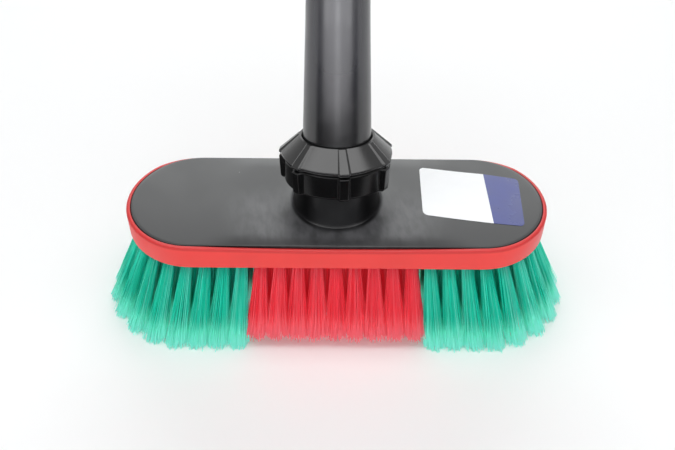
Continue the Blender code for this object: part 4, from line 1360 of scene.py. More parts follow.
    @staticmethod
    def _between(graph: Graph, size: str, share: Socket) -> Socket:
        """A size of the tree between root and tip."""
        root, tip = graph.given["Root " + size], graph.given["Tip " + size]
        return graph.math("ADD", root, graph.times(graph.math("SUBTRACT", tip, root), share))

    def _bend(self, graph: Graph, flow: Socket) -> Socket:
        """Carries every filament from its straight unit shape to its place in the tuft.

        Args:
            graph: the tree's graph.
            flow: the realized unit filaments.

        Returns:
            The bent filaments, with the attribute along.
        """
        local = graph.axes(self._stored(graph, "local"))
        down = local["Z"]
        flow = self._store(graph, flow, "along", down, "FLOAT")
        trim = graph.times(self._stored(graph, "trim", "FLOAT"), graph.given["Trim"])
        fall = graph.times(down, graph.math("SUBTRACT", 1.0, trim))
        reaches = {
            "lean": fall,
            "spoke": self._between(graph, "Spread", down),
            "sway": graph.times(graph.given["Sway"], graph.times(down, down)),
            "fray": graph.times(graph.given["Fray"], graph.math("POWER", down, 9.0)),
        }
        place = self._stored(graph, "root")
        for label, reach in reaches.items():
            place = graph.vector("ADD", place, graph.vector("SCALE", self._stored(graph, label), scale=reach))
        size = self._between(graph, "Size", down)
        x, y = graph.times(local["X"], size), graph.times(local["Y"], size)
        feeds = {0: x, 1: y, 2: graph.times(graph.given["Drop"], fall, -1.0)}
        place = graph.vector("ADD", place, graph.add("ShaderNodeCombineXYZ", feeds).outputs[0])
        return graph.add("GeometryNodeSetPosition", {"Geometry": flow, "Position": place}).outputs[0]

    def tufts(self, name: str, places: Sequence[Plan], drop: float, values: dict[str, Feed]) -> Piece:
        """Grows tufts at places of the backing.

        Args:
            name: the piece's name.
            places: the tufts in plan.
            drop: how far the tips hang below the backing.
            values: the tree's other inputs.

        Returns:
            The filaments as one plain mesh.
        """
        mesh = bpy.data.meshes.new(name)
        root_level = self.plan.rubber_bottom
        mesh.from_pydata([(x, y + self.plan.middle, root_level) for x, y in places], [], [])
        for label, kind in (("lean", "FLOAT_VECTOR"), ("turn", "FLOAT")):
            mesh.attributes.new(label, kind, "POINT")
        for i, place in enumerate(places):
            mesh.attributes["lean"].data[i].vector = self.lean(place) * (drop / self.length)
            mesh.attributes["turn"].data[i].value = self.turn_step * i
        sizes = {"Root Spread": self.root_spread, "Tip Spread": self.tip_spread, "Drop": drop}
        return applied(linked(name + "_roots", mesh), self.tree, {**sizes, **values}, name)

    def grade(self, is_outer: bool) -> dict[str, Feed]:
        """Number and radius of the filaments, finer and more where they are seen from close by.

        Args:
            is_outer: whether it is for the outer row.

        Returns:
            The tree's inputs by name.
        """
        if is_outer:
            return {"Filaments": self.outer_count, "Root Size": self.fine_root, "Tip Size": self.fine_tip}
        return {"Filaments": self.inner_count, "Root Size": self.coarse_root, "Tip Size": self.coarse_tip}

    def backing(self, name: Field, material: Material) -> None:
        """One slice of the plate that the tufts are set in.

        Args:
            name: the field it belongs to.
            material: its finish.
        """
        plan, half_gap = self.plan, self.plan.gap / 2
        if name is Field.RED_MIDDLE:
            x, y = self.split - half_gap, plan.core_radius
            outline = [(x, -y), (x, y), (-x, y), (-x, -y)]
        else:
            start = self.split + half_gap
            end = plan.outline(plan.core_radius)[: plan.end_steps + 1]
            outline = [(start, -plan.core_radius), *end, (start, plan.core_radius)]
            if name is Field.GREEN_LEFT:
                outline = [(-x, y) for x, y in outline]
        low, high = min(x for x, _ in outline), max(x for x, _ in outline)
        shell, levels = Shell(), (plan.rubber_bottom, plan.backing_top)
        rims = [[shell.ring(plan.placed(outline, level))] for level in levels]
        shell.wall(rims[0][0], rims[1][0])
        for (x, y), radius in self.holes():
            if low < x < high:
                pair = [shell.ring(circle(radius, level, (x, y + plan.middle), 24)) for level in levels]
                shell.wall(*pair)
                for rim, ring in zip(rims, pair):
                    rim.append(ring)
        for rim in rims:
            shell.cap(*rim)
        piece = shell.piece(name.value.replace("bristles", "tuft_plate"), material)
        attach(piece, Body.HEAD, "black_plastic", name.value)

    def build(self, red: Material, green: Material, plate: Material) -> None:
        """Builds the three fields.

        Args:
            red: finish of the middle field.
            green: finish of the end fields.
            plate: finish of the backing.
        """
        self.tree = self.tuft_tree()
        rows = [self.row(number) for number in range(self.rows)]
        for seed, name in enumerate(Field):
            is_red = name is Field.RED_MIDDLE
            drop = self.length - (self.red_trim if is_red else 0.0)
            for is_outer in (True, False):
                chosen = rows[:1] if is_outer else rows[1:]
                places = [place for row in chosen for place in row[name]]
                values = {
                    "Trim": 0.045,
                    "Sway": 0.0007,
                    "Fray": 0.0009,
                    "Seed": 40 + 10 * seed + 100 * is_outer,
                    "Finish": red if is_red else green,
                    **self.grade(is_outer),
                }
                title = name.value.replace("bristles", "outer_tufts" if is_outer else "inner_tufts")
                piece = self.tufts(title, places, drop, values)
                attach(piece, Body.HEAD, "red_bristle" if is_red else "green_bristle", name.value)
            self.backing(name, plate)
        # A few red filaments slipped into a green tuft
        stray = (self.stray_x, self.inner_row - self.plan.end_radius)
        host = min(rows[0][Field.GREEN_RIGHT], key=lambda place: math.dist(place, stray))
        values = {"Filaments": 9, "Trim": 0.05, "Sway": 0.002, "Fray": 0.001, "Seed": 91, "Finish": red}
        piece = self.tufts("stray_filaments", [host], self.length, {**self.grade(True), **values})
        attach(piece, Body.HEAD, "red_bristle")


def rounded(corners: Sequence[Place], steps: int) -> list[Plan]:
    """A closed profile whose corners are rounded.

    Args:
        corners: radius, height and rounding of each corner in order.
        steps: facets of a rounding.

    Returns:
        The profile's points.
    """
    points: list[Plan] = []
    count = len(corners)
    for i, (x, z, rounding) in enumerate(corners):
        here = Vector((x, z))
        if not rounding:
            points.append((x, z))
            continue
        before = Vector(corners[i - 1][:2]) - here
        after = Vector(corners[(i + 1) % count][:2]) - here
        reach = min(rounding, before.length * 0.49, after.length * 0.49)
        start, end = here + before.normalized() * reach, here + after.normalized() * reach
        for step in range(steps + 1):
            share = step / steps
            spot = start * (1 - share) ** 2 + here * 2 * share * (1 - share) + end * share**2
            points.append((spot.x, spot.y))
    return points


@dataclass
class UnionNut:
    """The ribbed union nut: a sector of its outside, repeated round the axis, and its threaded bore.

    Attributes:
        lean: the axis of the neck, the nut and the handle.
        cover: the cover whose thread the nut runs on.
        ribs: number of ribs.
        first_rib: angle of the first rib.
        rib_share: a rib's share of its sector.
        flank_share: the same with the rib's sloping flanks.
        skirt: radius of the skirt's faces.
        waist: radius of the groove above the skirt.
        lip: radius of the cone's lip.
        rib: radius of the ribs.
        top: radius of the upper rim.
        opening: radius of the opening.
        bottom: lower level along the axis.
        skirt_top: where the groove begins.
        lip_top: upper edge of the lip.
        height: upper level along the axis.
        shoulder: level of the inner shoulder.
        thread_root: radius of the thread's root.
        thread_end: upper end of the thread.
        seat: radius of the seat for the slip ring.
        chamfer: of the lower edges.
        groove: depth of the groove in the faces.
        rib_groove: its depth in the ribs.
        edge: rounding of its edges.
    """

    lean: Lean
    cover: Cover
    ribs: int = 7
    first_rib: float = math.radians(-82.5)
    rib_share: float = 0.17
    flank_share: float = 0.255
    skirt: float = 0.0292
    waist: float = 0.0283
    lip: float = 0.0306
    rib: float = 0.0323
    top: float = 0.0207
    opening: float = 0.0194
    bottom: float = 0.014354
    skirt_top: float = 0.028154
    lip_top: float = 0.030554
    height: float = 0.040254
    shoulder: float = 0.034154
    thread_root: float = 0.02475
    thread_end: float = 0.026854
    seat: float = 0.0235
    chamfer: float = 0.0008
    groove: float = 0.0009
    rib_groove: float = 0.0020
    edge: float = 0.00028

    def levels(self) -> list[tuple[float, float, float, float]]:
        """The outside's levels.

        Returns:
            Face radius, rib radius, level and roundness of each.
        """
        skirt, rib, groove, cut = self.skirt, self.rib, self.groove, self.chamfer
        low, high = self.bottom, self.skirt_top
        cone = [(0.0, 0.75), (0.05, 0.76), (0.95, 0.89), (1.0, 0.9)]
        return [
            (skirt - cut, rib - 2 * cut, low, 0.9),
            (skirt, rib - cut, low + cut, 0.9),
            (skirt, rib - cut * 0.9, low + cut * 1.8, 0.9),
            (skirt, rib - cut * 0.1, high - groove - cut, 0.9),
            (skirt, rib, high - groove, 0.9),
            (self.waist, rib - self.rib_groove, high, 0.9),
            (self.waist, rib - self.rib_groove, high + groove, 0.9),
            (self.lip, rib, (high + self.lip_top) / 2, 0.75),
            *[self.cone_level(share, roundness) for share, roundness in cone],
        ]

    def cone_level(self, share: float, roundness: float) -> tuple[float, float, float, float]:
        """One level of the cone, from the lip at share 0 to the upper rim at share 1.

        Args:
            share: how far up the cone.
            roundness: of the faces there.

        Returns:
            Face radius, rib radius, level and roundness.
        """
        face = self.lip + (self.top - self.lip) * share
        rib = self.rib + (self.top + 0.00085 - self.rib) * share
        return face, rib, self.lip_top + (self.height - self.lip_top) * share, roundness

    def sector(self) -> Piece:
        """One rib with half a face on each side, as an open strip.

        Returns:
            The strip's object, in the axis' own frame.
        """
        width = math.tau / self.ribs
        rib, flank = width * self.rib_share / 2, width * self.flank_share / 2
        face = width / 2 - flank
        turns = [-width / 2 + face * share for share in (0.0, 0.3, 0.6, 0.93, 1.0)]
        turns += [-rib, -rib * 0.7, rib * 0.7, rib]
        turns += [flank + face * share for share in (0.0, 0.07, 0.4, 0.7, 1.0)]
        shell, rows = Shell(), []
        for face_radius, rib_radius, level, roundness in self.levels():
            row = []
            for turn in turns:
                radius = rib_radius
                if abs(turn) > rib * 1.01:
                    flat = face_radius / math.cos(width / 2 - abs(turn))
                    radius = flat + (face_radius - flat) * roundness
                row.append(shell.bm.verts.new((radius * math.cos(turn), radius * math.sin(turn), level)))
            rows.append(row)
        for lower, upper in zip(rows, rows[1:]):
            for i in range(len(turns) - 1):
                shell.bm.faces.new((lower[i], lower[i + 1], upper[i + 1], upper[i]))
        mesh = bpy.data.meshes.new("nut_sector")
        shell.bm.to_mesh(mesh)
        shell.bm.free()
        return linked("nut_sector", mesh)

    def bore_radius(self, angle: float, level: float) -> float:
        """Radius of the threaded bore.

        Args:
            angle: round the axis.
            level: along the axis.

        Returns:
            The radius.
        """
        shift = self.cover.pitch / 2
        span = (self.bottom + self.chamfer + shift, self.thread_end + shift)
        swell = thread_swell(angle, level + shift, *span, self.cover.pitch, self.cover.runout)
        return self.thread_root - self.cover.thread_depth * swell

    def bore(self) -> list[tuple[Radius, float]]:
        """Radius and level of each ring of the threaded bore, the seat and the opening, from the bottom up.

        Returns:
            The sizes.
        """
        start, rows = self.bottom + self.chamfer, 36
        sizes: list[tuple[Radius, float]] = [(self.thread_root + self.chamfer / 2, self.bottom)]
        sizes += [(self.bore_radius, start + (self.thread_end - start) * row / rows) for row in range(rows + 1)]
        sizes += [
            (self.thread_root, self.shoulder - (self.thread_root - self.seat)),
            (self.seat, self.shoulder),
            (self.opening, self.shoulder),
            (self.opening, self.height - self.edge),
            (self.opening + self.edge, self.height),
        ]
        return sizes

    def build(self, material: Material, around: Tree) -> None:
        """Builds the nut in place of its CAD node.

        Args:
            material: its finish.
            around: the tree that repeats a shape round an axis.
        """
        values = {"Count": self.ribs, "First": self.first_rib, "Finish": material}
        outside = applied(self.sector(), around, values, "nut_outside")
        bevel = outside.modifiers.new("edges", "BEVEL")
        bevel.width, bevel.segments = self.edge, 2
        bevel.limit_method, bevel.angle_limit = "ANGLE", math.radians(20)
        bevel.use_clamp_overlap = True
        mesh = evaluated_mesh(outside)
        outside.modifiers.clear()
        bpy.data.objects.remove(outside, do_unlink=True)
        shell = Shell()
        shell.bm.from_mesh(mesh)
        rims = [edge for edge in shell.bm.edges if edge.is_boundary]
        rings = [shell.ring(circle(radius, level, steps=112)) for radius, level in self.bore()]
        shell.skin(rings)
        middle = (self.bottom + self.height) / 2
        for ring, is_top in ((rings[0], False), (rings[-1], True)):
            edges = [edge for edge in rims if (edge.verts[0].co.z > middle) == is_top]
            for i, vertex in enumerate(ring):
                edges.append(shell.bm.edges.get((vertex, ring[(i + 1) % len(ring)])))
            bmesh.ops.triangle_fill(shell.bm, use_beauty=True, edges=edges)
        shell.bm.transform(Matrix.Translation(self.lean.origin) @ Matrix.Rotation(-self.lean.tilt, 4, "X"))
        attach(shell.piece("ribbed_nut", material), Body.NUT, "nut_plastic", "union_nut")


@dataclass
class Handle:
    """The handle: tapered tube with its flange, end plug, and the threaded brass inlet.

    Attributes:
        lean: the axis of the neck, the nut and the handle.
        flange: radius of the flange.
        flange_bottom: its lower level along the axis.
        flange_top: its upper level.
        foot: radius above the flange.
        grip: radius of the grip.
        taper_top: where the taper ends.
        top: upper end of the tube.
        wall: of the tube.
        plug_head: radius of the plug's head.
        plug_bottom: lower level of the plug's head.
        plug_top: its upper level.
        stem_bottom: lower end of the plug's stem.
        hole: radius of the plug's hole.
        play: between the plug's stem and the tube.
        washer_bottom: lower level of the washer.
        washer_top: its upper level.
        washer_radius: of the washer.
        hex_bottom: lower level of the inlet's hexagon.
        hex_flats: size over its flats.
        hex_height: of the hexagon.
        hex_cut: height of the hexagon's chamfers.
        thread: radius of the male thread.
        thread_length: of the male end.
        thread_pitch: of the male thread.
        relief: depth of the thread and of its relief.
        relief_length: of the relief.
        bore: radius of the water bore.
        mouth: chamfer of the bore's mouth.
        shank: radius of the shank.
        shank_bottom: lower end of the shank.
        barb_end: lower end of the hose barb.
        barb_low: how much thinner than the shank the barb is between its ridges.
        barb_high: the same on its ridges.
    """

    lean: Lean
    flange: float = 0.0226
    flange_bottom: float = 0.029354
    flange_top: float = 0.032354
    foot: float = 0.0191
    grip: float = 0.0160
    taper_top: float = 0.125354
    top: float = 0.341354
    wall: float = 0.0025
    plug_head: float = 0.0167
    plug_bottom: float = 0.341654
    plug_top: float = 0.345854
    stem_bottom: float = 0.323354
    hole: float = 0.0086
    play: float = 0.0003
    washer_bottom: float = 0.346154
    washer_top: float = 0.347154
    washer_radius: float = 0.0116
    hex_bottom: float = 0.347454
    hex_flats: float = 0.024
    hex_height: float = 0.006
    hex_cut: float = 0.0011
    thread: float = 0.0104
    thread_length: float = 0.015
    thread_pitch: float = 0.001814
    relief: float = 0.0011
    relief_length: float = 0.0022
    bore: float = 0.0046
    mouth: float = 0.0006
    shank: float = 0.0083
    shank_bottom: float = 0.317754
    barb_end: float = 0.301754
    barb_low: float = 0.00235
    barb_high: float = 0.0021

    def build(self, tube: Material, plastic: Material, brass: Material, fibre: Material) -> None:
        """Builds the handle's visible pieces in place of their CAD nodes.

        Args:
            tube: finish of the tube.
            plastic: finish of the end plug.
            brass: finish of the inlet.
            fibre: finish of the washer.
        """
        foot, grip, wall = self.foot, self.grip, self.wall
        tube_corners = [
            (foot - wall, self.flange_bottom, 0.0003),
            (self.flange, self.flange_bottom, 0.0004),
            (self.flange, self.flange_top, 0.0004),
            (foot, self.flange_top, 0.0005),
            (grip, self.taper_top, 0.03),
            (grip, self.top, 0.0006),
            (grip - wall, self.top, 0.0003),
            (grip - wall, self.taper_top, 0.03),
            (foot - wall, self.flange_top, 0.0003),
        ]
        stem = grip - wall - self.play
        plug_corners = [
            (self.hole, self.stem_bottom, 0.0),
            (stem, self.stem_bottom, 0.0005),
            (stem, self.plug_bottom, 0.0),
            (self.plug_head, self.plug_bottom, 0.0003),
            (self.plug_head, self.plug_top, 0.0012),
            (self.hole, self.plug_top, 0.0003),
        ]
        washer_corners = [
            (self.hole, self.washer_bottom, 0.0001),
            (self.washer_radius, self.washer_bottom, 0.0002),
            (self.washer_radius, self.washer_top, 0.0002),
            (self.hole, self.washer_top, 0.0001),
        ]
        for name, material, slot, node, steps, corners in (
            ("tapered_tube", tube, "handle_plastic", "handle_tube", 6, tube_corners),
            ("end_cap", plastic, "nut_plastic", "handle_end_plug", 5, plug_corners),
            ("flat_washer", fibre, "fibre", "inlet_washer", 3, washer_corners),
        ):
            attach(self.lean.turned(rounded(corners, steps)).piece(name, material), Body.HANDLE, slot, node)
        self.inlet(brass)

    def hex_radius(self, angle: float, level: float) -> float:
        """Radius of the chamfered hexagon, at an angle round the axis and a level along it.

        Args:
            angle: round the axis.
            level: along the axis.

        Returns:
            The radius.
        """
        sixth = math.pi / 3
        flat = self.hex_flats / 2 / math.cos(angle % sixth - sixth / 2)
        end = min(level - self.hex_bottom, self.hex_bottom + self.hex_height - level)
        cone = self.hex_flats / 2 * 0.985 + end * math.sqrt(3)
        return min(flat, cone)

    def thread_radius(self, angle: float, level: float) -> float:
        """Radius of the male thread, at an angle round the axis and a level along it.

        Args:
            angle: round the axis.
            level: along the axis.

        Returns:
            The radius.
        """
        top = self.hex_bottom + self.hex_height + self.thread_length
        start = self.hex_bottom + self.hex_height + self.relief_length
        phase = (level / self.thread_pitch - angle / math.tau) % 1.0
        crest = 1 - abs(2 * phase - 1)
        lead = min((level - start) / 0.0006, (top - level) / 0.0009, 1.0)
        crest = min(1.0, crest * 1.25)
        return self.thread - self.relief + self.relief * crest * max(lead, 0.0)

    def inlet(self, brass: Material) -> None:
        """Builds the brass inlet: hose barb, shank, hexagon, relief and male thread.

        Args:
            brass: its finish.
        """
        hex_top = self.hex_bottom + self.hex_height
        start, top = hex_top + self.relief_length, hex_top + self.thread_length
        ridge = (self.shank_bottom - self.barb_end) / 3
        sizes: list[tuple[float, Radius]] = [(self.barb_end, self.bore)]
        for i in range(3):
            sizes.append((self.barb_end + ridge * i, self.shank - self.barb_low))
            sizes.append((self.barb_end + ridge * (i + 1), self.shank - self.barb_high))
        sizes += [(self.shank_bottom, self.shank), (self.hex_bottom, self.shank)]
        sizes += [(self.hex_bottom + self.hex_cut * i / 5, self.hex_radius) for i in range(6)]
        sizes += [(hex_top - self.hex_cut * (5 - i) / 5, self.hex_radius) for i in range(6)]
        sizes += [(level, self.thread - self.relief) for level in (hex_top, start)]
        rows = 64
        sizes += [(start + (top - start) * row / rows, self.thread_radius) for row in range(rows + 1)]
        sizes += [(top, self.bore + self.mouth), (top - self.mouth, self.bore)]
        shell = Shell()
        shell.skin([shell.ring(self.lean.ring(radius, level)) for level, radius in sizes], closed=True)
        attach(shell.piece("brass_inlet", brass), Body.HANDLE, "brass", "inlet_nipple")


def real_copies(graph: Graph, points: Socket, shape: Socket, turn: Socket) -> Socket:
    """Real copies of a shape on points, each turned round Z.

    Args:
        graph: the geometry tree's graph.
        points: the points.
        shape: the shape.
        turn: the angle of each copy.

    Returns:
        The copies.
    """
    angles = graph.add("ShaderNodeCombineXYZ", {2: turn}).outputs[0]
    rotation = graph.add("FunctionNodeEulerToRotation", {0: angles}).outputs[0]
    feeds = {"Points": points, "Instance": shape, "Rotation": rotation}
    copies = graph.add("GeometryNodeInstanceOnPoints", feeds).outputs[0]
    return graph.add("GeometryNodeRealizeInstances", {"Geometry": copies}).outputs[0]


def around_axis_tree() -> Tree:
    """The Geometry Nodes tree that repeats a shape round the Z axis and joins the copies.

    Returns:
        The tree.
    """
    inputs = {"Count": "Int", "First": "Float", "Finish": "Material"}
    graph = Graph.start("around_axis", inputs)
    count = graph.given["Count"]
    points = graph.add("GeometryNodePoints", {"Count": count}).outputs[0]
    number = graph.add("GeometryNodeInputIndex").outputs[0]
    turn = graph.math("ADD", graph.times(number, graph.math("DIVIDE", math.tau, count)), graph.given["First"])
    feeds = {"Geometry": real_copies(graph, points, graph.given["Geometry"], turn), "Distance": 0.00002}
    return graph.finished(graph.add("GeometryNodeMergeByDistance", feeds).outputs[0])


def placed_copies_tree() -> Tree:
    """The Geometry Nodes tree that puts a copy of one object on each point.

    Returns:
        The tree.
    """
    inputs = {"Shape": "Object", "Turn Spread": "Float", "Seed": "Int", "Finish": "Material"}
    graph = Graph.start("placed_copies", inputs)
    given = graph.given
    points = graph.add("GeometryNodeMeshToPoints", {"Mesh": given["Geometry"]}).outputs[0]
    shape = graph.add("GeometryNodeObjectInfo", {"Object": given["Shape"]}).outputs["Geometry"]
    feeds = {2: 0.0, 3: 1.0, "Seed": given["Seed"]}
    chance = graph.add("FunctionNodeRandomValue", feeds, data_type="FLOAT").outputs[1]
    return graph.finished(real_copies(graph, points, shape, graph.times(chance, given["Turn Spread"])))


@dataclass
class CoverScrews:
    """The six pan-head screws that hold the cover on from below.

    Attributes:
        plan: the head's outline and levels.
        places: the screws in plan.
        head: radius of the head.
        head_height: of the head.
        shank: radius of the shank.
        head_bottom: level of the head's face.
        tip: level of the screw's end.
        recess: radius of the drive recess.
    """

    plan: HeadPlan
    places: Sequence[Plan]
    head: float = 0.0028
    head_height: float = 0.0021
    shank: float = 0.0015
    head_bottom: float = 0.0609
    tip: float = 0.0738
    recess: float = 0.0013

    def shape(self) -> Piece:
        """One screw, upside down as it sits, with a six-lobed recess.

        Returns:
            The screw at the origin.
        """

        def lobed(size: float, lobes: float) -> Radius:
            """The rule of a circle that six lobes reach out of."""
            return lambda angle, level: size * (1 - lobes * (0.5 - 0.5 * math.cos(6 * angle)))

        low = self.head_bottom
        shell, rings = Shell(), []
        for level, size, lobes in (
            (low + 0.0010, self.recess * 0.92, 0.16),
            (low + 0.0001, self.recess, 0.16),
            (low, self.recess * 1.06, 0.14),
            (low, self.head * 0.66, 0.0),
            (low + 0.0003, self.head * 0.86, 0.0),
            (low + 0.0009, self.head * 0.98, 0.0),
            (low + 0.0013, self.head, 0.0),
            (low + self.head_height, self.head, 0.0),
            (low + self.head_height, self.shank, 0.0),
            (self.tip - 0.0008, self.shank, 0.0),
            (self.tip, self.shank / 2, 0.0),
        ):
            rings.append(shell.ring(circle(lobed(size, lobes), level, steps=36)))
        shell.skin(rings)
        shell.cap(rings[0])
        shell.cap(rings[-1])
        return shell.piece("pan_head_screw", bpy.data.materials[0])

    def build(self, material: Material, copies: Tree) -> None:
        """Places the screws in place of their CAD nodes.

        Args:
            material: their finish.
            copies: the tree that puts copies on points.
        """
        shape = self.shape()
        mesh = bpy.data.meshes.new("screw_places")
        mesh.from_pydata(self.plan.placed(self.places, 0.0), [], [])
        values = {"Shape": shape, "Turn Spread": math.tau, "Seed": 5, "Finish": material}
        piece = applied(linked("screw_places", mesh), copies, values, "pan_head_screws")
        bpy.data.objects.remove(shape, do_unlink=True)
        names = [f"cover_screw_{i + 1}" for i in range(len(self.places))]
        attach(piece, Body.HEAD, "stainless_steel", *names)


@dataclass
class BlankLabel:
    """A plain sticker on the cover, half white paper and half blue film, with nothing printed on it.

    Attributes:
        plan: the head's outline and levels.
        corners: of the paper in plan, relative to the head's middle, from the back left round.
        film: the far corners of the blue film.
        lift: air under the sticker.
        thickness: of the sticker.
        rounding: of its outer corners.
        cells: grid steps along and across.
    """

    plan: HeadPlan
    corners: tuple[Plan, ...] = ((0.0490, 0.0286), (0.0866, 0.0235), (0.0875, -0.0184), (0.0485, -0.0123))
    film: tuple[Plan, ...] = ((0.1066, 0.0192), (0.1044, -0.0206))
    lift: float = 0.00004
    thickness: float = 0.00012
    rounding: float = 0.0030
    cells: tuple[int, int] = (40, 44)

    def _rounded(self, u: float, v: float, quad: Sequence[Plan], is_left: bool) -> Plan:
        """Shares across a patch, drawn in at its two outer corners.

        Args:
            u: share along.
            v: share across.
            quad: the patch's corners.
            is_left: whether the left corners are the rounded ones.

        Returns:
            The moved shares.
        """
        long, wide = math.dist(quad[0], quad[1]), math.dist(quad[0], quad[3])
        reach = self.rounding
        x = (u if is_left else 1 - u) * long
        y = min(v, 1 - v) * wide
        if x < reach and y < reach:
            away = Vector((x - reach, y - reach))
            if away.length > reach:
                x, y = Vector((reach, reach)) + away.normalized() * reach
        along, across = x / long, y / wide
        return (along if is_left else 1 - along), (across if v < 0.5 else 1 - across)

    def patch(self, name: str, quad: Sequence[Plan], material: Material, cover: BVHTree, is_left: bool) -> None:
        """One flat piece of the sticker, laid on the cover's crown.

        Args:
            name: the piece's name.
            quad: its four corners in plan.
            material: its finish.
            cover: the cover's surface.
            is_left: whether its rounded corners are the left ones.
        """
        shell = Shell()
        nx, ny = self.cells
        grids: list[list[Ring]] = []
        for lift in (self.lift, self.lift + self.thickness):
            rows = []
            for j in range(ny + 1):
                row = []
                for i in range(nx + 1):
                    u, v = self._rounded(i / nx, j / ny, quad, is_left)
                    top = Vector(quad[0]) * (1 - u) + Vector(quad[1]) * u
                    low = Vector(quad[3]) * (1 - u) + Vector(quad[2]) * u
                    spot = top * (1 - v) + low * v
                    above = Vector((spot.x, spot.y + self.plan.middle, 0.2))
                    hit = cover.ray_cast(above, Vector((0, 0, -1)))[0]
                    row.append(shell.bm.verts.new((above.x, above.y, hit.z + lift)))
                rows.append(row)
            grids.append(rows)
        for rows in grids:
            for lower, upper in zip(rows, rows[1:]):
                for i in range(nx):
                    shell.bm.faces.new((lower[i], lower[i + 1], upper[i + 1], upper[i]))
        shell.wall(*(self._rim(rows) for rows in grids))
        attach(shell.piece(name, material), Body.HEAD, "black_plastic")

    @staticmethod
    def _rim(rows: list[Ring]) -> Ring:
        """The border vertices of a grid in order.

        Args:
            rows: the grid's rows.

        Returns:
            The border vertices.
        """
        right = [row[-1] for row in rows[1:]]
        left = [row[0] for row in rows[-2:0:-1]]
        return [*rows[0], *right, *rows[-1][-2::-1], *left]

    def build(self, cover: Piece, paper: Material, film: Material) -> None:
        """Lays both parts of the sticker.

        Args:
            cover: the moulded cover that it is stuck on.
            paper: finish of the white part.
            film: finish of the blue part.
        """
        tree = BVHTree.FromObject(cover, bpy.context.evaluated_depsgraph_get())
        self.patch("plain_label", self.corners, paper, tree, True)
        blue = (self.corners[1], self.film[0], self.film[1], self.corners[2])
        self.patch("plain_film", blue, film, tree, False)


